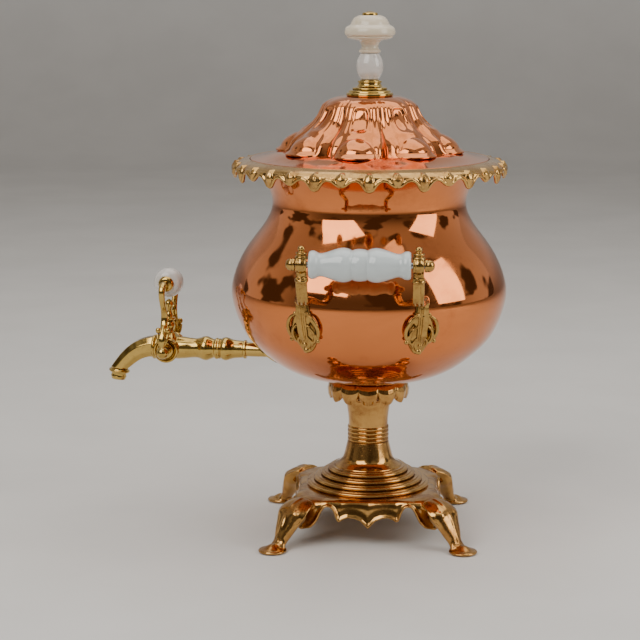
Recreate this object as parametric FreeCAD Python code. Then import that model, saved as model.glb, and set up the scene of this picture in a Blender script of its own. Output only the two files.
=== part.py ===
import FreeCAD, Part
import math
import os

# Tea urn (samovar) on a pedestal. Millimetres, +Z up.
# Origin: the urn's axis at table level. The tap points to -X, the handles stand at -Y and +Y.

V = FreeCAD.Vector
UP = V(0, 0, 1)

# Clearances and wall thicknesses
running_fit = 0.05          # radial play of the tap plug in its bore
bore_clearance = 0.15       # radial play of a rod or bolt in the piece it passes through
seat_gap = 0.1              # solder or felt film under a piece that follows the bowl
lift_play = 0.3             # play round a piece that lifts off
copper_wall = 1.2
lid_wall = 1.0

# Turn of the handles and of the tap about the urn's axis, as the pieces were fixed
handle_turn = -2.75
tap_turn = -7.4
lid_turn = -10.0

# Base casting
plate_half = 65.0
plate_corner = 22.0
plate_top_z = 40.0
plate_round = 6.0
cast_wall = 4.0
apron_bottom_z = 15.4
apron_corner_z = 21.2
apron_corner_x = 25.0
scallop_z = 26.5
arch_peak_z = 34.8
arch_x = 35.0
arch_half = 9.0
pad_reach = 115.3           # pad centre from the urn's axis, along the diagonal
pad_radius = 12.5
pad_height = 4.4

# Pedestal stem
foot_radius = 54.5
foot_steps = 4
step_inset = 6.3
step_height = 4.2
flare_radius = 25.0
waist_radius = 17.4
waist_z = 79.0
ring_pitch = 3.6
ring_bulge = 0.9
stem_rings = 4
column_top_radius = 20.5
column_top_z = 122.0
stem_bore = 6.0

# Leaf collar
leaf_count = 12
leaf_tip_z = 117.0
leaf_tip_radius = 33.4
leaf_crown_radius = 36.4
leaf_depth = 5.5

# Bowl
bowl_bottom_z = 135.6
bowl_flat_radius = 30.0
bowl_profile = [(58.8, 141.2), (78.2, 150.0), (93.9, 162.0), (107.0, 176.0), (114.3, 190.0),
                (118.9, 204.0), (120.3, 216.0), (118.1, 228.0), (112.6, 242.0), (104.2, 256.0),
                (94.0, 269.5), (87.0, 281.0), (84.3, 291.0), (86.0, 301.0), (91.0, 311.0),
                (98.0, 320.5)]

# Gallery round the mouth
gallery_radius = 119.2
gallery_edge_z = 325.0
gallery_lip_z = 330.4
gallery_ledge_z = 327.4
large_tip_z = 311.5
small_tip_z = 315.5
tooth_root_z = 322.6
tooth_pairs = 16
notch_half = 4.5            # half width of the arch between two leaves
notch_drop = 4.0            # from the arch's crown to its feet

# Lid
lid_radius = 103.3
lid_edge_z = 330.6
lid_slope_z = 337.2
lid_slope_radius = 75.0
lobe_count = 8
dome_levels = [(336.0, 76.5, 64.5), (341.0, 76.0, 63.0), (346.5, 73.6, 59.5), (352.6, 64.6, 52.5),
               (360.0, 52.4, 45.0), (369.0, 44.6, 40.5), (377.5, 39.8, 37.2), (383.6, 26.0, 25.5)]
skirt_radius = 94.0
skirt_depth = 12.0

# Finial on the lid
rod_radius = 2.4
collar_radius = 20.4
collar_top_radius = 8.5
collar_height = 14.1
ball_radius = 11.6
ball_height = 23.1
knob_radius = 21.85
knob_height = 31.8
knob_neck_radius = 7.2
cap_radius = 6.75
cap_height = 3.5
lid_washer_height = 1.2
lid_nut_height = 4.4
lid_nut_flats = 9.0

# Heater: a cast slug in a closed sleeve, with its cover
sleeve_radius = 27.0
sleeve_wall = 1.2
sleeve_top_z = 290.0
iron_radius = 22.0
iron_top_z = 250.0
cover_height = 4.0
cover_plug = 6.0
cover_knob_height = 11.0
iron_eye_radius = 8.0
iron_eye_wire = 2.2

# Centre bolt
bolt_radius = 5.0
bolt_head_radius = 11.0
bolt_head_height = 6.0
washer_height = 2.0
washer_radius = 16.0
nut_height = 7.0
nut_across_flats = 16.0

# Handles
handle_reach = 149.0
handle_z = 259.0
handle_half = 47.0
bracket_angle = 24.0
grip_length = 82.0
bead_radius = 13.2          # middle bead
groove_radius = 12.0        # either side of the bead
swell_radius = 14.0         # pear-shaped swelling next to it
grip_neck_radius = 9.4
grip_end_radius = 11.5
handle_rod_radius = 2.6
boss_radius = 5.6
arm_radius = 4.6
end_nut_radius = 5.25
end_nut_length = 8.0
nut_seat = 4.8              # from the bracket's centre to its outer face
leaf_half_width = 14.5
leaf_low_z = 179.0
leaf_high_z = 226.0
leaf_plate = 2.4
rivet_radius = 1.6
rivet_head_radius = 3.0
rivet_head_height = 1.4
rivet_levels = (192.0, 214.0)

# Tap
tap_z = 157.5
pivot_reach = 179.8
pipe_radius = 6.3
pipe_bore = 4.0
flange_radius = 17.0
flange_thickness = 2.6
housing_radius = 11.2
housing_half = 17.2
plug_radius = 7.0
plug_port = 3.6
hub_reach = 28.0
hub_radius = 5.7
yoke_waist = 18.6
yoke_flare = 28.5
yoke_bar = 2.9
yoke_grip_rise = 59.0
tap_grip_radius = 13.1
tap_grip_half = 9.8
tap_cap_radius = 7.0
crossbar_radius = 2.4
lock_nut_height = 5.0
lock_nut_flats = 19.0
gasket_radius = 10.5
tail_length = 2.0           # of pipe past the lock nut, inside the bowl
ferrule_reach = 109.4
joint_reach = 133.6
joint_radius = 9.2
spout_root = 192.0
nozzle_reach = 226.5
nozzle_top_z = 136.5
nozzle_length = 10.0
finial_rise = 44.0

# Values worked out from the sizes above
dome_top_z = dome_levels[-1][0]
ball_z = dome_top_z + collar_height
knob_z = ball_z + ball_height
cap_z = knob_z + knob_height
bolt_head_z = bowl_bottom_z + copper_wall + sleeve_wall + washer_height
bolt_top_z = bolt_head_z + bolt_head_height
bolt_low_z = plate_top_z - cast_wall - washer_height - nut_height - 2.0
rod_low_z = dome_top_z - lid_wall - lid_washer_height - lid_nut_height - 2.0


def turned(*moves):
    """Solid of revolution about Z. A pair is a straight run to it; a list is an arc (two
    pairs) or a smooth curve (three or more pairs)."""
    edges = []
    start = here = None
    for move in moves:
        points = [V(r, 0, z) for r, z in (move if isinstance(move, list) else [move])]
        if here is None:
            start = points[0]
        elif len(points) == 1:
            if here.distanceToPoint(points[0]) > 1e-6:
                edges.append(Part.makeLine(here, points[0]))
        elif len(points) == 2:
            edges.append(Part.Arc(here, *points).toShape())
        else:
            curve = Part.BSplineCurve()
            curve.interpolate([here] + points)
            edges.append(curve.toShape())
        here = points[-1]
    edges.append(Part.makeLine(here, start))
    return Part.Face(Part.Wire(edges)).revolve(V(0, 0, 0), UP, 360)


def dome(radius, z, height):
    """Point half way along the spherical cap that rises by height from a circle of this
    radius. A negative height gives a cap that hangs down."""
    ball = (radius ** 2 + height ** 2) / (2 * abs(height))
    centre = z + height - math.copysign(ball, height)
    angle = (math.atan2(z - centre, radius) + math.copysign(math.pi / 2, height)) / 2
    return ball * math.cos(angle), centre + ball * math.sin(angle)


def placed(shape, position, direction=UP):
    """The shape with its Z axis laid along direction and its origin at position."""
    moved = shape.copy()
    moved.Placement = FreeCAD.Placement(position, FreeCAD.Rotation(UP, direction))
    return moved


def spun(shape, angle):
    """The shape turned about the urn's axis."""
    copy = shape.copy()
    copy.rotate(V(0, 0, 0), UP, angle)
    return copy


def mirrored(shape, normal):
    return shape.mirror(V(0, 0, 0), normal)


def disc(radius, height, z=0.0, hole=0.0):
    body = Part.makeCylinder(radius, height, V(0, 0, z))
    if hole:
        body = body.cut(Part.makeCylinder(hole, 3 * height, V(0, 0, z - height)))
    return body


def hexagon(across_flats, height, z, hole):
    corners = [V(across_flats / math.sqrt(3) * math.cos(math.radians(60 * k)),
                 across_flats / math.sqrt(3) * math.sin(math.radians(60 * k)), z) for k in range(7)]
    body = Part.Face(Part.makePolygon(corners)).extrude(V(0, 0, height))
    return body.cut(Part.makeCylinder(hole, 3 * height, V(0, 0, z - height)))


def bent_path(points, share=0.45):
    """Straight runs joined by tangent arcs at the inner points."""
    edges = []
    here = points[0]
    for before, corner, after in zip(points, points[1:], points[2:]):
        one, two = (before - corner), (after - corner)
        reach = share * min(one.Length, two.Length)
        one.normalize()
        two.normalize()
        inward = one + two
        half = one.getAngle(two) / 2
        radius = reach * math.tan(half)
        centre = corner + inward.normalize() * (reach / math.cos(half))
        middle = centre + (corner - centre).normalize() * radius
        begin, end = corner + one * reach, corner + two * reach
        edges.append(Part.makeLine(here, begin))
        edges.append(Part.Arc(begin, middle, end).toShape())
        here = end
    edges.append(Part.makeLine(here, points[-1]))
    return Part.Wire(edges)


def rod_along(points, radius):
    """A round rod that follows bent_path."""
    circle = Part.Wire(Part.makeCircle(radius, points[0], points[1] - points[0]))
    return bent_path(points).makePipeShell([circle], True, True)


def loft(wires, ruled=False):
    return Part.makeLoft(wires, True, ruled)


def ellipse_wire(centre, across, depth, turn):
    """Horizontal ellipse: depth along the direction turn, across at right angles to it."""
    curve = Part.Ellipse(V(0, 0, 0), max(across, depth), min(across, depth)).toShape()
    if across > depth:
        curve.rotate(V(0, 0, 0), UP, 90)
    curve.rotate(V(0, 0, 0), UP, turn)
    curve.translate(centre)
    return Part.Wire(curve)


def bowl_points(offset):
    """The bowl's outline moved outward by offset, square to its surface."""
    rows = [(bowl_flat_radius, bowl_bottom_z)] + bowl_profile
    moved = []
    for k, (r, z) in enumerate(rows):
        (r0, z0), (r1, z1) = rows[max(k - 1, 0)], rows[min(k + 1, len(rows) - 1)]
        length = math.hypot(r1 - r0, z1 - z0)
        moved.append((r + offset * (z1 - z0) / length, z - offset * (r1 - r0) / length))
    return moved


def bowl_radius(height):
    """Outer radius of the bowl at a height."""
    curve = Part.BSplineCurve()
    curve.interpolate([V(r, 0, z) for r, z in bowl_points(0.0)])
    low, high = curve.FirstParameter, curve.LastParameter
    for _ in range(40):
        middle = (low + high) / 2
        if curve.value(middle).z < height:
            low = middle
        else:
            high = middle
    return curve.value((low + high) / 2).x


def bowl_solid(offset):
    """Everything inside the bowl's outline moved outward by offset."""
    points = bowl_points(offset)
    return turned((0, points[0][1]), points[0], points[1:], (0, points[-1][1]))


def belly_patch(cutter, thickness):
    """A plate of even thickness that lies on the bowl inside a cutter."""
    return bowl_solid(seat_gap + thickness).common(cutter).cut(bowl_solid(seat_gap))


def apron_cutter():
    """Arches and scallops cut through two opposite aprons."""
    far = arch_x + arch_half
    near = arch_x - arch_half
    half = [V(0, 0, apron_bottom_z), V(0.55 * apron_corner_x, 0, scallop_z),
            V(apron_corner_x, 0, apron_corner_z), V(arch_x, 0, arch_peak_z), V(far, 0, apron_corner_z)]
    edges = [Part.Arc(*half[:3]).toShape(), Part.makeLine(half[2], V(near, 0, apron_corner_z)),
             Part.Arc(V(near, 0, apron_corner_z), half[3], half[4]).toShape(),
             Part.makeLine(half[4], V(far + 8, 0, apron_bottom_z)),
             Part.makeLine(V(far + 8, 0, apron_bottom_z), V(far + 8, 0, 0)),
             Part.makeLine(V(far + 8, 0, 0), V(0, 0, 0)),
             Part.makeLine(V(0, 0, 0), half[0])]
    face = Part.Face(Part.Wire(edges))
    side = face.extrude(V(0, 4 * plate_half, 0))
    side.translate(V(0, -2 * plate_half, 0))
    return side.fuse(mirrored(side, V(1, 0, 0)))


def make_base():
    """Square plate with scalloped aprons on four cabriole legs, hollow below."""
    def slab(half, low, high, corner):
        box = Part.makeBox(2 * half, 2 * half, high - low, V(-half, -half, low))
        uprights = [e for e in box.Edges if abs(e.tangentAt(e.FirstParameter).z) > 0.9]
        return box.makeFillet(corner, uprights)
    outer = slab(plate_half, apron_bottom_z, plate_top_z, plate_corner)
    outer = outer.makeFillet(plate_round, [e for e in outer.Edges if e.BoundBox.ZMin > plate_top_z - 0.1])
    inner = slab(plate_half - cast_wall, 0, plate_top_z - cast_wall, plate_corner - cast_wall)
    cutter = apron_cutter()
    shell = outer.cut(inner).cut(cutter).cut(spun(cutter, 90))
    sections = [(82.5, plate_top_z - 3.0, 9.5, 12.5), (91.5, 29.0, 10.0, 13.0), (98.5, 20.0, 9.0, 11.0),
                (103.5, 12.0, 7.5, 8.5), (108.0, 4.0, 8.0, 8.0)]
    leg = loft([ellipse_wire(V(s, 0, z), across, depth, 0) for s, z, depth, across in sections])
    rim = 0.3 * pad_height
    pad = turned((0, 0), (pad_radius - rim, 0), [(pad_radius, rim), (pad_radius - rim, 2 * rim)],
                 (0.5 * pad_radius, pad_height), (0, pad_height))
    leg = leg.fuse(placed(pad, V(pad_reach, 0, 0)))
    for k in range(4):
        shell = shell.fuse(spun(leg, 45 + 90 * k))
    return shell.removeSplitter().cut(disc(bolt_radius + bore_clearance, 60))


def make_stem():
    moves = [(stem_bore, plate_top_z)]
    for k in range(foot_steps):
        radius = foot_radius - k * step_inset
        low = plate_top_z + k * step_height
        high = low + step_height
        moves += [(radius - 0.7, low), [(radius, (low + high) / 2), (radius - 1.4, high)]]
    top = plate_top_z + foot_steps * step_height
    moves += [(flare_radius + 5, top), [(flare_radius - 1.5, top + 5), (21.0, top + 11), (18.2, waist_z)]]
    for k in range(stem_rings):
        low = waist_z + k * ring_pitch
        moves += [(waist_radius, low), [(waist_radius + ring_bulge, low + ring_pitch / 2),
                                        (waist_radius, low + ring_pitch)]]
    moves += [[(waist_radius + 0.1, 98), (waist_radius + 1.2, 108), (column_top_radius, column_top_z)],
              (column_top_radius + 3, column_top_z + 4), (stem_bore, column_top_z + 4)]
    return turned(*moves)


def make_leaf_collar():
    seat = column_top_z + 4
    body = turned((bolt_radius + bore_clearance, seat), (column_top_radius + 4, seat),
                  [(leaf_crown_radius - 4, seat - 3), (leaf_tip_radius - 1.5, leaf_tip_z)],
                  (leaf_tip_radius + 0.4, leaf_tip_z),
                  [(leaf_crown_radius, (leaf_tip_z + bowl_bottom_z) / 2), (bowl_flat_radius, bowl_bottom_z)],
                  (bolt_radius + bore_clearance, bowl_bottom_z))
    width = leaf_crown_radius * math.tan(math.radians(180 / leaf_count))
    notch = Part.Face(Part.Wire([
        Part.Arc(V(0, -width, leaf_tip_z - 2), V(0, -0.45 * width, leaf_tip_z + 1.2),
                 V(0, 0, leaf_tip_z + leaf_depth)).toShape(),
        Part.Arc(V(0, 0, leaf_tip_z + leaf_depth), V(0, 0.45 * width, leaf_tip_z + 1.2),
                 V(0, width, leaf_tip_z - 2)).toShape(),
        Part.makeLine(V(0, width, leaf_tip_z - 2), V(0, -width, leaf_tip_z - 2))]))
    cutter = notch.extrude(V(2 * leaf_crown_radius, 0, 0))
    for k in range(leaf_count):
        body = body.cut(spun(cutter, (k + 0.5) * 360 / leaf_count))
    return body


def make_bowl():
    mouth_r, mouth_z = bowl_points(0.0)[-1]
    inner = bowl_points(-copper_wall)
    body = turned((bolt_radius + bore_clearance, bowl_bottom_z), (bowl_flat_radius, bowl_bottom_z),
                  bowl_profile, (mouth_r + 5.5, mouth_z + 1.0), (mouth_r + 5.5, mouth_z + 2.2), inner[-1],
                  list(reversed(inner[:-1])), (bolt_radius + bore_clearance, inner[0][1]))
    return body


def gallery_notch():
    """Cutter that leaves half a large leaf at each side and a small leaf between."""
    pitch = gallery_radius * math.tan(math.radians(180 / tooth_pairs))
    quarter = pitch / 2
    low = large_tip_z - 8
    edges = [Part.makeLine(V(0, -pitch, low), V(0, -pitch, large_tip_z))]
    here = V(0, -pitch, large_tip_z)
    for side in (-1, 1):
        begin = V(0, side * quarter - notch_half, tooth_root_z - notch_drop)
        top = V(0, side * quarter, tooth_root_z)
        end = V(0, side * quarter + notch_half, tooth_root_z - notch_drop)
        tip = V(0, 0, small_tip_z) if side < 0 else V(0, pitch, large_tip_z)
        edges += [Part.makeLine(here, begin), Part.Arc(begin, top, end).toShape(), Part.makeLine(end, tip)]
        here = tip
    edges += [Part.makeLine(here, V(0, pitch, low)), Part.makeLine(V(0, pitch, low), V(0, -pitch, low))]
    return Part.Face(Part.Wire(edges)).extrude(V(2 * gallery_radius, 0, 0))


def make_gallery():
    mouth_r, mouth_z = bowl_points(0.0)[-1]
    inner = lid_radius + lift_play
    seat = mouth_z + 2.2
    ring = turned((mouth_r - 2.5, seat), (mouth_r - 2.5, gallery_ledge_z), (inner, gallery_ledge_z),
                  (inner, gallery_lip_z),
                  [(inner + 8, gallery_lip_z - 0.6), (gallery_radius, gallery_edge_z)],
                  [(gallery_radius + 0.3, gallery_edge_z - 7), (gallery_radius - 0.6, large_tip_z)],
                  (gallery_radius - 2.4, large_tip_z),
                  [(gallery_radius - 1.9, gallery_edge_z - 6), (gallery_radius - 2.6, gallery_edge_z - 2)],
                  (inner + 3, seat))
    notch = gallery_notch()
    for k in range(tooth_pairs):
        ring = ring.cut(spun(notch, k * 360 / tooth_pairs))
    return ring


def lobed_wire(z, lobe, valley, inset):
    """Closed wire with eight full lobes and narrow valleys."""
    count = lobe_count * 6
    points = []
    for k in range(count):
        angle = 2 * math.pi * k / count
        swell = abs(math.cos(lobe_count * angle / 2)) ** 0.7
        radius = valley + (lobe - valley) * swell - inset
        points.append(V(radius * math.cos(angle), radius * math.sin(angle), z))
    curve = Part.BSplineCurve()
    curve.interpolate(Points=points, PeriodicFlag=True)
    return Part.Wire(curve.toShape())


def dome_solid(inset, drop):
    wires = [lobed_wire(z - drop, lobe, valley, inset) for z, lobe, valley in dome_levels]
    return loft(wires)


def make_lid():
    top = turned((0, lid_slope_z), (lid_slope_radius, lid_slope_z),
                 [(92, 332.4), (lid_radius - 1, lid_edge_z - 0.1)], (lid_radius, lid_edge_z - 0.5),
                 (lid_radius, gallery_ledge_z + seat_gap),
                 (lid_radius - 1, gallery_ledge_z + seat_gap), [(90, 330.6), (70, lid_slope_z - 3.2)],
                 (0, lid_slope_z - 3.2))
    cavity = dome_solid(lid_wall, lid_wall).fuse(
        Part.makeCylinder(dome_levels[0][2] - 2, 12, V(0, 0, dome_levels[0][0] - 11)))
    lid = top.fuse(dome_solid(0, 0)).cut(cavity)
    lid = lid.cut(disc(rod_radius + bore_clearance, 30, dome_top_z - 15))
    return spun(lid, lid_turn - 90)


def make_sleeve():
    floor = bowl_bottom_z + copper_wall
    inside = sleeve_radius - sleeve_wall
    hole = bolt_radius + bore_clearance
    return turned((hole, floor), (sleeve_radius, floor), (sleeve_radius, sleeve_top_z),
                  (inside, sleeve_top_z), (inside, floor + sleeve_wall), (hole, floor + sleeve_wall))


def make_iron():
    """Slug with a domed top and an eye for the lifting hook."""
    low = bolt_top_z
    body = turned((0, low), (iron_radius - 2, low), (iron_radius, low + 2), (iron_radius, iron_top_z - 3),
                  (iron_radius - 3, iron_top_z), (0, iron_top_z))
    eye = Part.makeTorus(iron_eye_radius, iron_eye_wire, V(0, 0, 0), V(0, 1, 0))
    eye.translate(V(0, 0, iron_top_z + iron_eye_radius))
    return body.fuse(eye)


def make_cover():
    """Disc with a plug that centres it in the sleeve and a knob to lift it."""
    low = sleeve_top_z
    inside = sleeve_radius - sleeve_wall - lift_play
    rim = sleeve_radius + 1.5
    top = low + cover_height
    neck = top + 2
    return turned((0, low - cover_plug), (inside, low - cover_plug), (inside, low), (rim, low),
                  (rim, low + 0.6 * cover_height), (sleeve_radius - 1, top), (5, top), (4, neck),
                  [dome(4, neck, cover_knob_height), (0, neck + cover_knob_height)])


def make_skirt_ring():
    """Ring under the lid that keeps it centred in the mouth."""
    top = lid_edge_z - 1.25
    low = top - skirt_depth
    return disc(skirt_radius, top - low, low, skirt_radius - copper_wall)


def make_collar():
    """Stepped collar between the dome and the ball."""
    low, high = dome_top_z, ball_z
    hole = rod_radius + bore_clearance
    return turned((hole, low), (collar_radius - 1, low),
                  [(collar_radius, low + 2.2), (collar_radius - 2, low + 4.4)],
                  (collar_radius - 6, low + 5.2),
                  [(collar_radius - 5.6, low + 6.4), (collar_radius - 6.6, low + 7.6)],
                  (collar_radius - 8.2, low + 8.2),
                  [(collar_top_radius + 1, low + 10), (collar_top_radius, high)], (hole, high))


def make_ball():
    hole = rod_radius + bore_clearance
    flat = 6.2
    return turned((hole, ball_z), (flat, ball_z), [(ball_radius, ball_z + ball_height / 2), (flat, knob_z)],
                  (hole, knob_z))


def make_knob():
    """Mushroom knob on a waisted neck."""
    hole = rod_radius + bore_clearance
    low, high = knob_z, cap_z
    return turned((hole, low), (knob_neck_radius + 1.4, low), [(knob_neck_radius + 2.2, low + 1.4),
                  (knob_neck_radius + 1.2, low + 3)],
                  [(knob_neck_radius, low + 5.5), (knob_neck_radius + 2.4, low + 8.6),
                   (knob_radius - 4, low + 12.8)],
                  [(knob_radius, low + 17.4), (knob_radius - 4.6, low + 23)],
                  [(knob_radius - 8, low + 28.5), (9, high)], (hole, high))


def make_cap_nut():
    low, high = cap_z, cap_z + cap_height
    side = 1.4
    cap = turned((0, low), (cap_radius, low), (cap_radius, low + side),
                 [dome(cap_radius, low + side, cap_height - side), (0, high)])
    return cap.cut(Part.makeCylinder(rod_radius + 0.02, cap_height - 1.2, V(0, 0, low)))


def along_handle(shape, side):
    """A handle piece built along +X at the origin, laid on the front (-1) or back (+1) handle line."""
    moved = shape.copy()
    moved.translate(V(0, -handle_reach, handle_z))
    return spun(moved, handle_turn if side < 0 else handle_turn + 180)


def ring_stack(*moves):
    """Turned piece about the handle line."""
    return placed(turned(*moves), V(0, 0, 0), V(1, 0, 0))


def make_grip():
    """Ceramic grip: a middle bead, two pear-shaped halves, flared ends."""
    hole = handle_rod_radius + bore_clearance
    half = grip_length / 2
    one = ring_stack((hole, 0), (bead_radius, 0), [(bead_radius - 0.4, 3.4), (groove_radius, 6.2)],
                     [(swell_radius - 0.8, 9.0), (swell_radius, 13.0), (swell_radius - 1.4, 19.5),
                      (grip_neck_radius + 0.9, 27.0), (grip_neck_radius, 31.0)],
                     [(grip_neck_radius + 0.7, 33.8), (grip_end_radius - 0.4, 36.0)],
                     [(grip_end_radius, 38.4), (grip_end_radius - 0.9, half)], (hole, half))
    return one.fuse(mirrored(one, V(1, 0, 0))).removeSplitter()


def make_handle_rod():
    half = handle_half + nut_seat + end_nut_length - 1.5
    return ring_stack((0, -half), (handle_rod_radius, -half), (handle_rod_radius, half), (0, half))


def make_end_nuts():
    """Domed nut at each end of the handle rod."""
    low = handle_half + nut_seat
    high = low + end_nut_length
    side = 3.0
    nut = ring_stack((0, low), (end_nut_radius, low), (end_nut_radius, low + side),
                     [dome(end_nut_radius, low + side, end_nut_length - side), (0, high)])
    bore = ring_stack((0, low), (handle_rod_radius + 0.02, low), (handle_rod_radius + 0.02, high - 1.4),
                      (0, high - 1.4))
    nut = nut.cut(bore)
    return Part.makeCompound([nut, mirrored(nut, V(1, 0, 0))])


def bracket_leaf(side):
    """Acanthus plate that follows the bowl, with its tip down. side is -1 or +1 along X."""
    low, high, w = leaf_low_z, leaf_high_z, leaf_half_width
    right = [V(0, 0, low), V(0.55 * w, 0, low + 6), V(w, 0, low + 16), V(0.72 * w, 0, low + 26),
             V(0.45 * w, 0, low + 34), V(0.42 * w, 0, high)]
    left = [V(-p.x, 0, p.z) for p in reversed(right[1:])]
    one = Part.BSplineCurve()
    one.interpolate(right)
    other = Part.BSplineCurve()
    other.interpolate(left + [right[0]])
    outline = Part.Wire([one.toShape(), Part.makeLine(right[-1], left[0]), other.toShape()])
    cutter = Part.Face(outline).extrude(V(0, -2 * gallery_radius, 0))
    return belly_patch(spun(cutter, side * bracket_angle), leaf_plate)


def make_bracket(side):
    """Leaf plate, arm, boss and stacked-ring finial, at one end of a handle."""
    x = side * handle_half
    root = bowl_radius(leaf_high_z - 12) + seat_gap + leaf_plate / 2
    turn = math.radians(bracket_angle)
    foot = V(side * root * math.sin(turn), -root * math.cos(turn), leaf_high_z - 12)
    arm = rod_along([foot, foot + V(0, -7.0, 2.0), V(x, -handle_reach + 9, handle_z - 32),
                     V(x, -handle_reach, handle_z - 20), V(x, -handle_reach, handle_z)], arm_radius)
    thick = nut_seat - 0.1
    boss = ring_stack((0, -thick), (boss_radius + 0.8, -thick),
                      [(boss_radius + 1.8, 0), (boss_radius + 0.8, thick)], (0, thick))
    boss.translate(V(x, -handle_reach, handle_z))
    low = boss_radius - 0.5
    finial = turned((0, low), (4.6, low), [(5.0, low + 1.1), (4.4, low + 2.2)], (3.2, low + 2.8),
                    [(4.6, low + 4.0), (3.4, low + 5.4)], (2.4, low + 6.0),
                    [dome(2.4, low + 6.0, 4.6), (0, low + 10.6)])
    finial.translate(V(x, -handle_reach, handle_z))
    piece = bracket_leaf(side).fuse([arm, boss, finial])
    hole = ring_stack((0, -20), (handle_rod_radius + bore_clearance, -20),
                      (handle_rod_radius + bore_clearance, 20), (0, 20))
    hole.translate(V(x, -handle_reach, handle_z))
    return piece.cut(hole).cut(bowl_solid(seat_gap)).removeSplitter()


def rivet_pose(level, side):
    """Centre on the bowl's outer face and outward normal of one rivet."""
    step = 0.5
    radius = bowl_radius(level)
    slope = (bowl_radius(level + step) - bowl_radius(level - step)) / (2 * step)
    angle = math.radians(side * bracket_angle - 90)
    normal = V(math.cos(angle), math.sin(angle), -slope).normalize()
    return V(radius * math.cos(angle), radius * math.sin(angle), level), normal


def make_rivet(level, side, play=0.0):
    """Rivet from the inside head to the leaf plate's face. With play it is the hole's cutter."""
    centre, normal = rivet_pose(level, side)
    inside = -copper_wall - 0.1
    outside = seat_gap + leaf_plate + 0.2
    shank = rivet_radius + play
    if play:
        return placed(turned((0, -20), (shank, -20), (shank, 20), (0, 20)), centre, normal)
    rivet = turned((0, inside - rivet_head_height),
                   [dome(rivet_head_radius, inside, -rivet_head_height), (rivet_head_radius, inside)],
                   (shank, inside), (shank, outside), (0, outside))
    return placed(rivet, centre, normal)


def tap_frame(shape):
    """A tap piece built with the tap pointing to -X, turned to the tap's place."""
    return spun(shape, tap_turn)


def tap_turned(*moves):
    """Turned piece about the tap's line. Heights are distances from the urn's axis."""
    return tap_frame(placed(turned(*moves), V(0, 0, tap_z), V(-1, 0, 0)))


def cross_turned(*moves):
    """Turned piece about the plug's cross axis."""
    return tap_frame(placed(turned(*moves), V(-pivot_reach, 0, tap_z), V(0, -1, 0)))


def make_flange():
    start = bowl_radius(tap_z)
    slope = bowl_radius(tap_z + 0.5) - bowl_radius(tap_z - 0.5)
    normal = V(-1, 0, -slope).normalize()
    cutter = turned((0, -12), (flange_radius, -12), (flange_radius, 12), (0, 12))
    patch = belly_patch(placed(cutter, V(-start, 0, tap_z), normal), flange_thickness)
    hole = pipe_radius + bore_clearance
    bore = turned((0, 0), (hole, 0), (hole, 2 * start), (0, 2 * start))
    return tap_frame(patch.cut(placed(bore, V(0, 0, tap_z), V(-1, 0, 0))))


def make_pipe():
    """Threaded tail through the bowl's wall, open from the bowl to the plug."""
    pipe_inner = gasket_face() - lock_nut_height - tail_length
    return tap_turned((pipe_bore, pipe_inner), (pipe_radius, pipe_inner), (pipe_radius, ferrule_reach),
                      (pipe_bore, ferrule_reach))


def make_barrel():
    """Baluster barrel from the ferrule to the joint line."""
    s = ferrule_reach
    return tap_turned((pipe_bore, s), (8.3, s), (8.3, s + 2.4), (7.4, s + 3.0),
                      [(8.1, s + 8.8), (9.0, s + 14)], [(10.4, s + 19.4), (9.0, s + 23.6)],
                      (joint_radius, s + 24.2), (joint_radius, joint_reach), (pipe_bore, joint_reach))


def make_housing():
    """Plug housing with its own length of barrel, the cross cylinder and the spout's root."""
    s = joint_reach
    neck = tap_turned((pipe_bore, s), (joint_radius, s), (joint_radius, s + 4.4), (8.7, s + 5.2),
                      (8.7, s + 7.4), [(10.9, s + 12.8), (8.9, s + 19.6)], (8.4, s + 25), (8.4, pivot_reach),
                      (pipe_bore, pivot_reach))
    tail = tap_turned((pipe_bore, pivot_reach), (8.8, pivot_reach), (8.8, spout_root),
                      (pipe_bore, spout_root))
    step = 0.8
    inner = housing_half - 2.0
    cross = cross_turned((0, -housing_half), (housing_radius, -housing_half),
                         (housing_radius, -inner), (housing_radius - step, step - inner),
                         (housing_radius - step, inner - step), (housing_radius, inner),
                         (housing_radius, housing_half), (0, housing_half))
    body = neck.fuse([tail, cross])
    hole = plug_radius + running_fit
    bore = cross_turned((0, -hub_reach), (hole, -hub_reach), (hole, hub_reach), (0, hub_reach))
    way = tap_turned((0, joint_reach - 1), (pipe_bore, joint_reach - 1), (pipe_bore, spout_root + 1),
                     (0, spout_root + 1))
    return body.cut(bore).cut(way).removeSplitter()


def octagon(centre, direction, radius):
    """Eight-sided section, square to the spout's line."""
    turns = [math.radians(22.5 + 45 * k) for k in range(9)]
    corners = [V(radius * math.cos(turn), radius * math.sin(turn), 0) for turn in turns]
    wire = Part.Wire(Part.makePolygon(corners))
    return placed(wire, centre, direction)


def spout_line():
    """Centre points, directions and outer radii of the curved spout."""
    rows = [(spout_root, 0.6, 90, 9.6), (spout_root + 11, -1.2, 104, 8.9),
            (spout_root + 21.5, -7.0, 125, 8.3), (spout_root + 29.5, -15.0, 146, 7.8),
            (nozzle_reach, nozzle_top_z - tap_z, 172, 7.4)]
    line = []
    for reach, rise, angle, radius in rows:
        turn = math.radians(angle)
        line.append((V(-reach, 0, tap_z + rise), V(-math.sin(turn), 0, math.cos(turn)), radius))
    return line


def make_spout():
    line = spout_line()
    outer = loft([octagon(c, d, r) for c, d, r in line])
    inner = loft([Part.Wire(Part.makeCircle(pipe_bore, c, d)) for c, d, r in line])
    root = V(-spout_root, 0, tap_z + 0.3)
    ring = placed(turned((0, 0), (10.2, 0), [(10.9, 1.5), (10.2, 3.0)], (0, 3.0)), root, V(-1, 0, 0))
    mouth = turned((0, -1), (pipe_bore, -1), (pipe_bore, 4), (0, 4))
    mouth = placed(mouth, V(-spout_root, 0, tap_z), V(-1, 0, 0))
    return tap_frame(outer.fuse(ring).cut(inner).cut(mouth))


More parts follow.
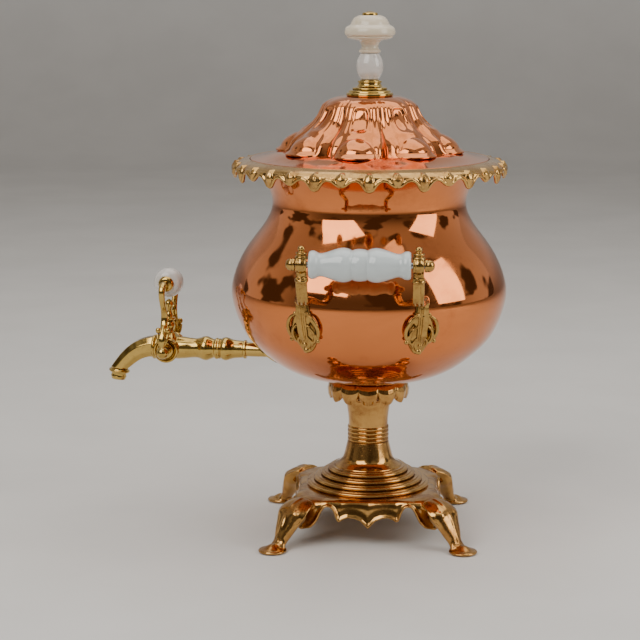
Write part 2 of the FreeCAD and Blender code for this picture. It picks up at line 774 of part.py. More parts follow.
def make_nozzle():
    centre, direction, _ = spout_line()[-1]
    piece = turned((pipe_bore, 0), (8.6, 0), [(9.3, 1.6), (8.6, 3.2)], (6.6, 3.8), (6.3, nozzle_length),
                   (pipe_bore, nozzle_length))
    return tap_frame(placed(piece, centre, direction))


def make_plug():
    """Plug with its through port, and shoulders out to the hubs."""
    half = housing_half + 0.6
    shaft = cross_turned((0, -half), (plug_radius, -half), (plug_radius, half), (0, half))
    port = tap_turned((0, pivot_reach - 20), (plug_port, pivot_reach - 20), (plug_port, pivot_reach + 20),
                      (0, pivot_reach + 20))
    ends = [cross_turned((0, side * half), (4.0, side * half), (4.0, side * (hub_reach - hub_radius + 0.8)),
                         (0, side * (hub_reach - hub_radius + 0.8))) for side in (-1, 1)]
    return shaft.cut(port).fuse(ends).removeSplitter()


def make_yoke():
    """Two arms that straddle the housing, with hubs, leaf knobs and elbows to the crossbar caps."""
    arms = []
    for side in (-1, 1):
        points = [V(0, side * hub_reach, 0), V(0, side * (hub_reach + 1), 12), V(0, side * yoke_waist, 25),
                  V(0, side * yoke_waist, 34), V(0, side * yoke_flare, 47),
                  V(0, side * yoke_flare, yoke_grip_rise),
                  V(0, side * (tap_grip_half + 5.5), yoke_grip_rise)]
        arm = rod_along(points, yoke_bar)
        hub = placed(turned((0, -hub_radius), [(hub_radius, 0), (0, hub_radius)]), V(0, side * hub_reach, 0))
        leaf = placed(turned((0, -3.4), [(3.4, 0), (0, 3.4)]), V(0, side * (hub_reach - 1.5), 21.5))
        arms.append(arm.fuse([hub, leaf]))
    yoke = arms[0].fuse(arms[1])
    yoke.translate(V(-pivot_reach, 0, tap_z))
    return tap_frame(yoke).cut(make_plug())


def lever_turned(*moves):
    """Turned piece about the crossbar's line."""
    return tap_frame(placed(turned(*moves), V(-pivot_reach, 0, tap_z + yoke_grip_rise), V(0, -1, 0)))


def make_tap_grip():
    hole = crossbar_radius + bore_clearance
    end = 7.6
    return lever_turned((hole, -tap_grip_half), (end, -tap_grip_half),
                        [(tap_grip_radius, 0), (end, tap_grip_half)], (hole, tap_grip_half))


def make_caps():
    hole = crossbar_radius + bore_clearance
    caps = [lever_turned((hole, side * tap_grip_half), (tap_cap_radius, side * tap_grip_half),
                         [(tap_cap_radius - 1, side * (tap_grip_half + 2.4)),
                          (hole + 1.2, side * (tap_grip_half + 4.2))],
                         (hole, side * (tap_grip_half + 4.2))) for side in (-1, 1)]
    return Part.makeCompound(caps)


def make_tap_finial():
    """Turned post on the housing, between the yoke's arms."""
    low = housing_radius - 1.2
    post = turned((0, low - 2), (5.2, low - 2), (5.2, low + 1.4), (3.0, low + 2.2), (2.8, 16.5),
                  [(4.4, 17.8), (2.8, 19)],
                  [(3.8, 23.4), (2.2, 27.6)], (2.0, 30), [(4.0, 31.4), (2.0, 32.8)], (1.6, 37),
                  [dome(1.6, 37, finial_rise - 37), (0, finial_rise)])
    post.translate(V(-pivot_reach, 0, tap_z))
    return tap_frame(post).cut(make_housing()).cut(
        cross_turned((0, -20), (plug_radius + 1, -20), (plug_radius + 1, 20), (0, 20)))


def gasket_face():
    """Distance from the urn's axis to the nut's seat, clear of the sloping wall below it."""
    return bowl_radius(tap_z - lock_nut_flats / math.sqrt(3)) - 2 * copper_wall


def make_lock_nut():
    """Nut inside the bowl, on its gasket. The gasket's inner face follows the wall."""
    reach = gasket_face() - lock_nut_height
    nut = hexagon(lock_nut_flats, lock_nut_height, 0, pipe_radius + 0.02)
    return tap_frame(placed(nut, V(-reach, 0, tap_z), V(-1, 0, 0)))


def make_gasket():
    """Shaped rubber seat between the sloping wall and the nut."""
    near, far = gasket_face(), bowl_radius(tap_z) + 2 * gasket_radius
    stock = tap_turned((pipe_radius + 0.1, near), (gasket_radius, near), (gasket_radius, far),
                       (pipe_radius + 0.1, far))
    return stock.common(bowl_solid(-copper_wall - seat_gap))


def export(name, shape):
    solids = shape.Solids
    good = shape.isValid() and all(s.isClosed() for s in solids)
    print(f"{name:22s} solids {len(solids)} valid {good} volume {shape.Volume:10.1f}")
    whole = solids[0] if len(solids) == 1 else Part.makeCompound(solids)
    whole.exportStep(f"parts/{name}.step")


def export_all():
    hole = pipe_radius + bore_clearance
    tap_hole = tap_turned((0, 0), (hole, 0), (hole, joint_reach), (0, joint_reach))
    bowl = make_bowl().cut(tap_hole)
    export("base_casting", make_base())
    export("pedestal_stem", make_stem())
    export("leaf_collar", make_leaf_collar())
    export("centre_bolt", turned((0, bolt_low_z), (bolt_radius, bolt_low_z), (bolt_radius, bolt_head_z),
                                 (bolt_head_radius, bolt_head_z), (bolt_head_radius, bolt_top_z),
                                 (0, bolt_top_z)))
    under = plate_top_z - cast_wall
    export("bolt_washer", disc(washer_radius, washer_height, under - washer_height,
                               bolt_radius + bore_clearance))
    export("bolt_nut", hexagon(nut_across_flats, nut_height, under - washer_height - nut_height,
                               bolt_radius + 0.02))
    export("sleeve_seal", disc(bolt_head_radius + 1, washer_height, bolt_head_z - washer_height,
                               bolt_radius + bore_clearance))
    export("rim_gallery", make_gallery())
    export("heater_sleeve", make_sleeve())
    export("heater_iron", make_iron())
    export("heater_cover", make_cover())
    export("lid_dome", make_lid())
    export("lid_skirt", make_skirt_ring())
    inner_top = dome_top_z - lid_wall
    export("lid_washer", disc(3 * rod_radius, lid_washer_height, inner_top - lid_washer_height,
                              rod_radius + bore_clearance))
    export("lid_nut", hexagon(lid_nut_flats, lid_nut_height, inner_top - lid_washer_height - lid_nut_height,
                              rod_radius + 0.02))
    export("finial_rod", disc(rod_radius, cap_z + cap_height - 1.3 - rod_low_z, rod_low_z))
    export("finial_collar", make_collar())
    export("finial_ball", make_ball())
    export("finial_knob", make_knob())
    export("finial_cap_nut", make_cap_nut())

    handle_rod = make_handle_rod()
    nuts = make_end_nuts()
    brackets = [make_bracket(side) for side in (-1, 1)]
    rivets = [make_rivet(level, side) for level in rivet_levels for side in (-1, 1)]
    holes = [make_rivet(level, side, bore_clearance) for level in rivet_levels for side in (-1, 1)]
    for face, side in (("front", -1), ("back", 1)):
        turn = handle_turn if side < 0 else handle_turn + 180
        for hole in holes:
            bowl = bowl.cut(spun(hole, turn))
        drilled = [piece.cut(holes) for piece in brackets]
        export(f"brackets_{face}", spun(Part.makeCompound(drilled), turn))
        export(f"rivets_{face}", spun(Part.makeCompound(rivets), turn))
        export(f"grip_{face}", along_handle(make_grip(), side))
        export(f"handle_rod_{face}", along_handle(handle_rod, side))
        export(f"end_nuts_{face}", along_handle(nuts, side))
    export("urn_body", bowl)

    export("tap_flange", make_flange())
    export("tap_pipe", make_pipe())
    export("tap_gasket", make_gasket())
    export("tap_lock_nut", make_lock_nut())
    export("tap_barrel", make_barrel())
    export("tap_housing", make_housing())
    export("tap_spout", make_spout())
    export("spout_nozzle", make_nozzle())
    export("tap_finial", make_tap_finial())
    export("tap_plug", make_plug())
    export("tap_yoke", make_yoke())
    export("grip_crossbar", lever_turned((0, -tap_grip_half - 5.2), (crossbar_radius, -tap_grip_half - 5.2),
                                         (crossbar_radius, tap_grip_half + 5.2), (0, tap_grip_half + 5.2)))
    export("grip_caps", make_caps())
    export("tap_grip", make_tap_grip())


os.makedirs("parts", exist_ok=True)
export_all()
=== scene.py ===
"""Copper tea urn on a cast brass pedestal: the looks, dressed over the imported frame."""

import logging
import math
from dataclasses import dataclass
from enum import Enum
from functools import cached_property

import bmesh
import bpy
import numpy as np
from mathutils import Matrix, Vector


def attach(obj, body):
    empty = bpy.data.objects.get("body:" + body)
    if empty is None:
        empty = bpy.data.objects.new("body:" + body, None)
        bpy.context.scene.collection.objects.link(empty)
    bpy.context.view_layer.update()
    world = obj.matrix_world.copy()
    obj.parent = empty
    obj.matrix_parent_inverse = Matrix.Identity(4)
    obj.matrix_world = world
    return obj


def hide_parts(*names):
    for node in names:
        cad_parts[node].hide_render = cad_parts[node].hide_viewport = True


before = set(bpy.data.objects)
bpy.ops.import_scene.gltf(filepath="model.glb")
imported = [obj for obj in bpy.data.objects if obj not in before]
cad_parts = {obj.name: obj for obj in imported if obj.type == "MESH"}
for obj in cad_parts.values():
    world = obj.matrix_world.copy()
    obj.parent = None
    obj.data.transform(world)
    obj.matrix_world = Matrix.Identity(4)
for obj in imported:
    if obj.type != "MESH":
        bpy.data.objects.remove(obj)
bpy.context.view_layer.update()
MM = 0.001
WELD = 4e-6  # metres: points nearer than this become one
NEAR_AXIS = 1e-3  # millimetres: a turned profile keeps this far from its axis
OPEN_BORE = 0.1  # millimetres: a profile that ends further out than this is closed into a ring
SAME_POINT = 1e-4  # millimetres: profile points nearer than this become one
FLAT_ARC = 1e-9  # below this, three points have no circle through them
STRAIGHT = 0.35  # radians: a profile that turns less than this keeps its corner
UP = Vector((0, 0, 1))
RIGHT = Vector((1, 0, 0))
Point = tuple[float, float]
Colour = tuple[float, float, float]
Feed = bpy.types.NodeSocket | float | Colour
log = logging.getLogger("tea_urn")


class Body(Enum):
    """Moving bodies of the part."""
    ROOT = "root"
    LID = "lid"
    COVER = "heater_cover"
    IRON = "heater_iron"
    LEVER = "tap_lever"


def smooth_line(points: list, per_span: int = 8) -> list:
    """Natural cubic curve through points.

    Args:
        points: places that the curve goes through, in two or three dimensions.
        per_span: how many points the curve gets for each given one.

    Returns:
        The points of the curve as tuples.
    """
    known = np.array([tuple(p) for p in points], float)
    chord = np.linalg.norm(np.diff(known, axis=0), axis=1)
    place = np.concatenate([[0.0], np.cumsum(chord)])
    count = len(known)
    system = np.eye(count)
    target = np.zeros_like(known)
    for i in range(1, count - 1):
        system[i, i - 1:i + 2] = chord[i - 1], 2 * (chord[i - 1] + chord[i]), chord[i]
        target[i] = 6 * ((known[i + 1] - known[i]) / chord[i] - (known[i] - known[i - 1]) / chord[i - 1])
    bend = np.linalg.solve(system, target)
    curve = []
    for s in np.linspace(0, place[-1], per_span * (count - 1) + 1):
        k = min(max(int(np.searchsorted(place, s)) - 1, 0), count - 2)
        a, b = (place[k + 1] - s) / chord[k], (s - place[k]) / chord[k]
        value = a * known[k] + b * known[k + 1]
        value = value + ((a ** 3 - a) * bend[k] + (b ** 3 - b) * bend[k + 1]) * chord[k] ** 2 / 6
        curve.append(tuple(float(x) for x in value))
    return curve


def polar(radius: float, angle: float, height: float) -> Vector:
    """Point at a radius and an angle in radians about the urn's axis."""
    return Vector((radius * math.cos(angle), radius * math.sin(angle), height))


def ramp(value: float, low: float, high: float) -> float:
    """Soft step from 0 at low to 1 at high."""
    share = min(max((value - low) / (high - low), 0.0), 1.0)
    return share * share * (3 - 2 * share)


def arc_line(start: Point, middle: Point, end: Point, steps: int = 10) -> list[Point]:
    """Points on the arc from start through middle to end, without the start.

    Args:
        start: first point.
        middle: a point that the arc goes through.
        end: last point.
        steps: how many points it gets.

    Returns:
        The arc's points.
    """
    (ax, ay), (bx, by), (cx, cy) = start, middle, end
    d = 2 * (ax * (by - cy) + bx * (cy - ay) + cx * (ay - by))
    if abs(d) < FLAT_ARC:
        return [end]
    a2, b2, c2 = ax * ax + ay * ay, bx * bx + by * by, cx * cx + cy * cy
    ux = (a2 * (by - cy) + b2 * (cy - ay) + c2 * (ay - by)) / d
    uy = (a2 * (cx - bx) + b2 * (ax - cx) + c2 * (bx - ax)) / d
    first = math.atan2(ay - uy, ax - ux)
    through = (math.atan2(by - uy, bx - ux) - first) % (2 * math.pi)
    turn = (math.atan2(cy - uy, cx - ux) - first) % (2 * math.pi)
    if through > turn:
        turn -= 2 * math.pi
    radius = math.hypot(ax - ux, ay - uy)
    return [(ux + radius * math.cos(first + turn * k / steps),
             uy + radius * math.sin(first + turn * k / steps))
            for k in range(1, steps + 1)]


def outline(*moves: tuple | list, corner: float = 0.3, per_span: int = 8) -> list[Point]:
    """Profile for a turned piece.

    Args:
        moves: a pair is a straight run to it, a list of two pairs an arc through the first to
            the second, and a longer list a smooth curve.
        corner: radius that sharp corners are eased by.
        per_span: points for each span of a smooth curve.

    Returns:
        The profile's points as (radius, height).
    """
    line: list[Point] = []
    for move in moves:
        if isinstance(move, tuple):
            line.append(move)
        elif len(move) == 2:
            line += arc_line(line[-1], move[0], move[1])
        else:
            line += smooth_line([line[-1], *move], per_span)[1:]
    clean = [line[0]]
    clean += [b for a, b in zip(line, line[1:]) if math.dist(a, b) > SAME_POINT]
    eased = [clean[0]]
    for a, b, c in zip(clean, clean[1:], clean[2:]):
        before, after = Vector(a) - Vector(b), Vector(c) - Vector(b)
        if before.angle(-after, 0.0) < STRAIGHT:
            eased.append(b)
            continue
        reach = min(corner, 0.42 * before.length, 0.42 * after.length)
        one, two = before.normalized() * reach, after.normalized() * reach
        at = Vector(b)
        far_one, far_two = before.length > 4 * reach, after.length > 4 * reach
        if far_one:
            eased.append(tuple(at + 1.8 * one))
        for t in (0.0, 0.33, 0.67, 1.0):
            eased.append(tuple(at + one * (1 - t) ** 2 + two * t ** 2))
        if far_two:
            eased.append(tuple(at + 1.8 * two))
    return eased + [clean[-1]]


def facing(direction: Vector, at: Vector = Vector()) -> Matrix:
    """Matrix that lays +Z along direction and the origin at a point."""
    turn = UP.rotation_difference(direction).to_matrix().to_4x4()
    return Matrix.Translation(at) @ turn


def about_urn(angle: float) -> Matrix:
    """Turn about the urn's axis, in degrees."""
    return Matrix.Rotation(math.radians(angle), 4, "Z")


class Form:
    """A mesh that is being made, in millimetres."""

    def __init__(self) -> None:
        """Starts with no points."""
        self.points: list[Vector] = []
        self.faces: list[tuple[int, ...]] = []

    def rows(self, rows: list[list[Vector]], ring: bool = True, caps: bool = False) -> "Form":
        """Skins rows of points that have one length.

        Args:
            rows: the points, row after row.
            ring: whether each row is a closed loop.
            caps: whether the first and last rows are closed by a face.

        Returns:
            This form.
        """
        start, width = len(self.points), len(rows[0])
        for row in rows:
            self.points += [Vector(p) for p in row]
        span = width if ring else width - 1
        for i in range(len(rows) - 1):
            for j in range(span):
                a, b = start + i * width + j, start + i * width + (j + 1) % width
                self.faces.append((a, b, b + width, a + width))
        if caps:
            self.faces.append(tuple(range(start + width - 1, start - 1, -1)))
            last = start + (len(rows) - 1) * width
            self.faces.append(tuple(range(last, last + width)))
        return self

    def lathe(self, line: list[Point], place: Matrix = Matrix(), steps: int = 96) -> "Form":
        """Turns a profile about its axis and puts it in place.

        Args:
            line: profile as (radius, height); one that ends off the axis is closed into a ring.
            place: where it goes.
            steps: points round the axis.

        Returns:
            This form.
        """
        rows = []
        if min(line[0][0], line[-1][0]) > OPEN_BORE:
            line = [*line, line[0]]
        for radius, height in line:
            r = max(radius, NEAR_AXIS)
            rows.append([place @ Vector((r * math.cos(2 * math.pi * k / steps),
                                         r * math.sin(2 * math.pi * k / steps),
                                         height)) for k in range(steps)])
        return self.rows(rows)

    def sweep(self, path: list, widths: list[Point], steps: int = 16, side: Vector = Vector((0, 1, 0)),
              square: float = 1.0) -> "Form":
        """Runs an oval section along a path and closes both ends.

        Args:
            path: points along the middle.
            widths: half width and half depth at each point of the path.
            steps: points round the section.
            side: direction that the width keeps to.
            square: 1 for an oval, less for a squarer section.

        Returns:
            This form.
        """
        rows, count = [], len(path)
        for i, (here, (wide, deep)) in enumerate(zip(path, widths)):
            run = Vector(path[min(i + 1, count - 1)]) - Vector(path[max(i - 1, 0)])
            across = (side - side.project(run)).normalized()
            away = run.cross(across).normalized()
            row = []
            for k in range(steps):
                a = 2 * math.pi * k / steps
                c, s = math.cos(a), math.sin(a)
                row.append(Vector(here) + across * (wide * math.copysign(abs(c) ** square, c))
                           + away * (deep * math.copysign(abs(s) ** square, s)))
            rows.append(row)
        return self.rows(rows, caps=True)

    def tube(self, path: list, radius: float, steps: int = 10, closed: bool = False) -> "Form":
        """Round rod along a path.

        Args:
            path: points along the middle.
            radius: the rod's radius.
            steps: points round the rod.
            closed: whether the rod joins up with its start.

        Returns:
            This form.
        """
        line = [Vector(p) for p in path]
        count, rows = len(line), []
        for i, here in enumerate(line):
            if closed:
                run = line[(i + 1) % count] - line[i - 1]
            else:
                run = line[min(i + 1, count - 1)] - line[max(i - 1, 0)]
            across = UP - UP.project(run)
            if across.length < 0.1:
                across = RIGHT - RIGHT.project(run)
            across.normalize()
            away = run.cross(across).normalized()
            rows.append([here + across * (radius * math.cos(2 * math.pi * k / steps))
                         + away * (radius * math.sin(2 * math.pi * k / steps)) for k in range(steps)])
        if closed:
            rows.append(rows[0])
        return self.rows(rows, caps=not closed)

    def knob(self, centre: Vector, radii: tuple[float, float, float], steps: int = 24) -> "Form":
        """Rounded lump with three radii.

        Args:
            centre: its middle.
            radii: half sizes along X, Y and Z.
            steps: points round it.

        Returns:
            This form.
        """
        rows = []
        for i in range(steps // 2 + 1):
            a = math.pi * i / (steps // 2) - math.pi / 2
            ring = max(math.cos(a), NEAR_AXIS)
            turns = [2 * math.pi * k / steps for k in range(steps)]
            rows.append([centre + Vector((radii[0] * ring * math.cos(t), radii[1] * ring * math.sin(t),
                                          radii[2] * math.sin(a))) for t in turns])
        return self.rows(rows)

    def moved(self, place: Matrix) -> "Form":
        """Copy of the form, put in another place.

        Args:
            place: where the copy goes.

        Returns:
            The copy.
        """
        other = Form()
        other.points = [place @ p for p in self.points]
        other.faces = list(self.faces)
        return other

    def join(self, *others: "Form") -> "Form":
        """Takes in the points and faces of other forms.

        Args:
            others: the forms.

        Returns:
            This form.
        """
        for other in others:
            start = len(self.points)
            self.points += other.points
            self.faces += [tuple(i + start for i in f) for f in other.faces]
        return self

    def piece(self, name: str, finish: "Finish", body: Body = Body.ROOT, stands_for: tuple[str, ...] = (),
              sharp: float = 40.0, melt: float = 0.0, ease: int = 0) -> bpy.types.Object:
        """Makes the object, dresses it and lets it ride on its body.

        Args:
            name: the piece's name.
            finish: what it is made of.
            body: the body that it moves with.
            stands_for: CAD nodes that it hides.
            sharp: angle above which an edge stays crisp, in degrees.
            melt: size of the cells that join all parts into one casting, or 0 to leave them.
            ease: rounds of smoothing after the cells.

        Returns:
            The new object.
        """
        mesh = bpy.data.meshes.new(name)
        mesh.from_pydata([p * MM for p in self.points], [], self.faces)
        work = bmesh.new()
        work.from_mesh(mesh)
        bmesh.ops.remove_doubles(work, verts=work.verts, dist=WELD)
        bmesh.ops.recalc_face_normals(work, faces=work.faces)
        work.to_mesh(mesh)
        work.free()
        made = bpy.data.objects.new(name, mesh)
        bpy.context.scene.collection.objects.link(made)
        if melt:
            self.melted(made, melt, ease)
        for face in made.data.polygons:
            face.use_smooth = True
        if not melt:
            made.data.set_sharp_from_angle(angle=math.radians(sharp))
        made.data.materials.append(finish.material())
        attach(made, body.value)
        if stands_for:
            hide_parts(*stands_for)
        log.info("%s rides on %s, %d faces", name, body.value, len(made.data.polygons))
        return made

    @staticmethod
    def melted(made: bpy.types.Object, cell: float, ease: int) -> None:
        """Joins the parts of an object into one skin, as a casting is.

        Args:
            made: the object.
            cell: size of the cells in millimetres.
            ease: rounds of smoothing.
        """
        grid = made.modifiers.new("cast", "REMESH")
        grid.mode = "VOXEL"
        grid.voxel_size = cell * MM
        grid.use_smooth_shade = True
        if ease:
            soft = made.modifiers.new("ease", "SMOOTH")
            soft.factor = 0.5
            soft.iterations = ease
        bpy.context.view_layer.update()
        graph = bpy.context.evaluated_depsgraph_get()
        skin = bpy.data.meshes.new_from_object(made.evaluated_get(graph))
        made.modifiers.clear()
        made.data = skin


class Wiring:
    """Short way to lay out the nodes of a tree."""

    def __init__(self, tree: bpy.types.NodeTree) -> None:
        """Keeps the tree that is being wired."""
        self.tree = tree

    def node(self, kind: str, **values: object) -> bpy.types.Node:
        """Adds a node. Keys are sockets by name or number with _ for spaces, or the node's own fields.

        Args:
            kind: the node's type.
            values: sockets to link or set, and fields.

        Returns:
            The new node.
        """
        made = self.tree.nodes.new(kind)
        for key, value in values.items():
            if hasattr(made, key) and not key[0].isupper():
                setattr(made, key, value)
                continue
            numbered = key[0] == "i" and key[1:].isdigit()
            socket = made.inputs[int(key[1:]) if numbered else key.replace("_", " ")]
            if isinstance(value, bpy.types.NodeSocket):
                self.tree.links.new(value, socket)
            else:
                socket.default_value = value
        return made

    def maths(self, operation: str, one: Feed, two: Feed = 0.0) -> bpy.types.NodeSocket:
        """One sum."""
        return self.node("ShaderNodeMath", operation=operation, i0=one, i1=two).outputs[0]

    def mix(self, share: Feed, one: Feed, two: Feed) -> bpy.types.NodeSocket:
        """Blend of two colours.

        Args:
            share: how much of the second.
            one: first colour.
            two: second colour.

        Returns:
            The blend's socket.
        """
        made = self.node("ShaderNodeMix", data_type="RGBA")
        for place, value in ((0, share), (6, one), (7, two)):
            if isinstance(value, bpy.types.NodeSocket):
                self.tree.links.new(value, made.inputs[place])
            elif place:
                made.inputs[place].default_value = (*value, 1.0)
            else:
                made.inputs[place].default_value = value
        return made.outputs[2]

    def span(self, value: Feed, low: float, high: float, to_low: float = 0.0,
             to_high: float = 1.0) -> bpy.types.NodeSocket:
        """Smooth ramp from one range to another."""
        made = self.node("ShaderNodeMapRange", interpolation_type="SMOOTHSTEP", i0=value, i1=low, i2=high,
                         i3=to_low, i4=to_high)
        return made.outputs[0]


Group = tuple[Wiring, bpy.types.Node, bpy.types.Node]


def group(name: str, inputs: dict[str, float], outputs: tuple[str, ...]) -> Group:
    """Starts a shader node group.

    Args:
        name: the group's name.
        inputs: its numbers with their starting values.
        outputs: its numbers that go out.

    Returns:
        The wiring, the input node and the output node.
    """
    tree = bpy.data.node_groups.new(name, "ShaderNodeTree")
    for key, value in inputs.items():
        tree.interface.new_socket(name=key, in_out="INPUT",
                                  socket_type="NodeSocketFloat").default_value = value
    for key in outputs:
        tree.interface.new_socket(name=key, in_out="OUTPUT", socket_type="NodeSocketFloat")
    wiring = Wiring(tree)
    return wiring, wiring.node("NodeGroupInput"), wiring.node("NodeGroupOutput")


class Effects:
    """Shader groups that several finishes share, each built once."""
    made: dict[str, bpy.types.NodeTree] = {}

    @classmethod
    def get(cls, name: str) -> bpy.types.NodeTree:
        """The group of that name, built when it is first asked for."""
        if name not in cls.made:
            cls.made[name] = getattr(cls, name)()
        return cls.made[name]

    @staticmethod
    def clouds() -> bpy.types.NodeTree:
        """Soft patches where polish has gone dull."""
        w, start, end = group("clouds", {"Scale": 30.0, "Cover": 0.5}, ("Mask",))
        where = w.node("ShaderNodeTexCoord").outputs["Object"]
        large = w.node("ShaderNodeTexNoise", Vector=where, Scale=start.outputs["Scale"], Detail=5.0,
                       Roughness=0.62, Distortion=0.4).outputs[0]
        finer = w.maths("MULTIPLY", start.outputs["Scale"], 5.5)
        small = w.node("ShaderNodeTexNoise", Vector=where, Scale=finer, Detail=4.0, Roughness=0.7).outputs[0]
        level = w.maths("SUBTRACT", 1.0, start.outputs["Cover"])
        both = w.maths("MULTIPLY_ADD", small, 0.3)
        both.node.inputs[2].default_value = 0.0
        w.tree.links.new(w.maths("MULTIPLY", large, 0.7), both.node.inputs[2])
        low = w.maths("SUBTRACT", level, 0.1)
        high = w.maths("ADD", level, 0.12)
        patches = w.node("ShaderNodeMapRange", interpolation_type="SMOOTHSTEP", i0=both, i1=low, i2=high)
        w.tree.links.new(patches.outputs[0], end.inputs["Mask"])
        return w.tree

    @staticmethod
    def marks() -> bpy.types.NodeTree:
        """Fine polishing marks and small dents, as a height in millimetres."""
        w, start, end = group("marks", {"Marks": 0.01, "Dents": 0.01, "Dent Scale": 90.0},
                              ("Height", "Rough"))
        where = w.node("ShaderNodeTexCoord").outputs["Object"]
        around = w.node("ShaderNodeMapping", Vector=where, Scale=(1.0, 1.0, 14.0)).outputs[0]
        lines = w.node("ShaderNodeTexNoise", Vector=around, Scale=260.0, Detail=6.0,
                       Roughness=0.75).outputs[0]
        dents = w.node("ShaderNodeTexNoise", Vector=where, Scale=start.outputs["Dent Scale"], Detail=2.0,
                       Roughness=0.5).outputs[0]
        rise = w.maths("MULTIPLY", lines, start.outputs["Marks"])
        dip = w.maths("MULTIPLY", dents, start.outputs["Dents"])
        w.tree.links.new(w.maths("ADD", rise, dip), end.inputs["Height"])
        w.tree.links.new(w.span(lines, 0.35, 0.7), end.inputs["Rough"])
        return w.tree

    @staticmethod
    def corners() -> bpy.types.NodeTree:
        """Where polish reaches edges, and painted shade in hollows, read from ambient occlusion."""
        w, start, end = group("corners", {"Depth": 0.006, "Bite": 1.0}, ("Edge", "Hollow Shade"))
        sharp = w.node("ShaderNodeNewGeometry").outputs["Pointiness"]
        w.tree.links.new(w.span(sharp, 0.51, 0.58), end.inputs["Edge"])
        # Painted shade: ambient occlusion marks the hollows that every finish darkens.
        shade = w.node("ShaderNodeAmbientOcclusion", samples=8, only_local=True,
                       Distance=start.outputs["Depth"])
        dark = w.maths("SUBTRACT", 1.0, shade.outputs["AO"])
        grown = w.maths("MULTIPLY", w.span(dark, 0.25, 0.9), start.outputs["Bite"])
        grown.node.use_clamp = True
        w.tree.links.new(grown, end.inputs["Hollow Shade"])
        return w.tree


@dataclass(frozen=True)
class Finish:
    """What a piece is made of. Colours are linear."""
    name: str
    slot: str
    colour: Colour
    dull_colour: Colour
    # Colour of the painted shade in hollows.
    hollow_shade_colour: Colour = (0.05, 0.025, 0.01)
    cover: float = 0.42
    patch: float = 28.0
    gloss: float = 0.08
    dull: float = 0.26
    marks: float = 0.004
    dents: float = 0.02
    dent_scale: float = 70.0
    # Reach and strength of the painted shade in hollows; the strength also roughens them.
    hollow_depth: float = 0.004
    hollow: float = 0.9
    metallic: float = 1.0
    coat: float = 0.0

    def material(self) -> bpy.types.Material:
        """The material, built on first use."""
        known = bpy.data.materials.get(f"{self.name}_finish")
        return known if known else self.build()

    def effect(self, w: Wiring, name: str, **values: float) -> bpy.types.Node:
        """Places a shared effect with this finish's values.

        Args:
            w: wiring of the material.
            name: the effect.
            values: its inputs.

        Returns:
            The group's node.
        """
        made = w.node("ShaderNodeGroup", node_tree=Effects.get(name))
        for key, value in values.items():
            made.inputs[key.replace("_", " ")].default_value = value
        return made

    def build(self) -> bpy.types.Material:
        """Wires the shader."""
        made = bpy.data.materials.new(f"{self.name}_finish")
        made.use_nodes = True
        made.node_tree.nodes.clear()
        w = Wiring(made.node_tree)
        clouds = self.effect(w, "clouds", Scale=self.patch, Cover=self.cover)
        marks = self.effect(w, "marks", Marks=self.marks, Dents=self.dents, Dent_Scale=self.dent_scale)
        corners = self.effect(w, "corners", Depth=self.hollow_depth, Bite=self.hollow)
        bright = tuple(min(1.0, c * 1.08 + 0.02) for c in self.colour)
        base = w.mix(clouds.outputs["Mask"], self.colour, self.dull_colour)
        base = w.mix(w.maths("MULTIPLY", corners.outputs["Edge"], 0.6), base, bright)
        # Painted shade: hollows darkened towards a dark colour where ambient occlusion is high.
        base = w.mix(corners.outputs["Hollow Shade"], base, self.hollow_shade_colour)
        return self.join_up(w, made, base, clouds, marks, corners)

    def join_up(self, w: Wiring, made: bpy.types.Material, base: bpy.types.NodeSocket, clouds: bpy.types.Node,
                marks: bpy.types.Node, corners: bpy.types.Node) -> bpy.types.Material:
        """Sets the shader's sockets.

        Args:
            w: wiring of the material.
            made: the material.
            base: its colour.
            clouds: node of the dull patches.
            marks: node of the polishing marks.
            corners: node of edges and hollows.

        Returns:
            The material.
        """
        rough = w.span(clouds.outputs["Mask"], 0.0, 1.0, self.gloss, self.dull)
        rough = w.maths("ADD", rough, w.maths("MULTIPLY", marks.outputs["Rough"], 0.04))
        rough = w.maths("ADD", rough, w.maths("MULTIPLY", corners.outputs["Hollow Shade"], 0.3))
        bump = w.node("ShaderNodeBump", Strength=1.0, Distance=MM, Height=marks.outputs["Height"])
        shader = w.node("ShaderNodeBsdfPrincipled", Base_Color=base, Roughness=rough, Metallic=self.metallic,
                        Normal=bump.outputs[0], Coat_Weight=self.coat, Coat_Roughness=0.04)
        w.node("ShaderNodeOutputMaterial", Surface=shader.outputs[0])
        return made


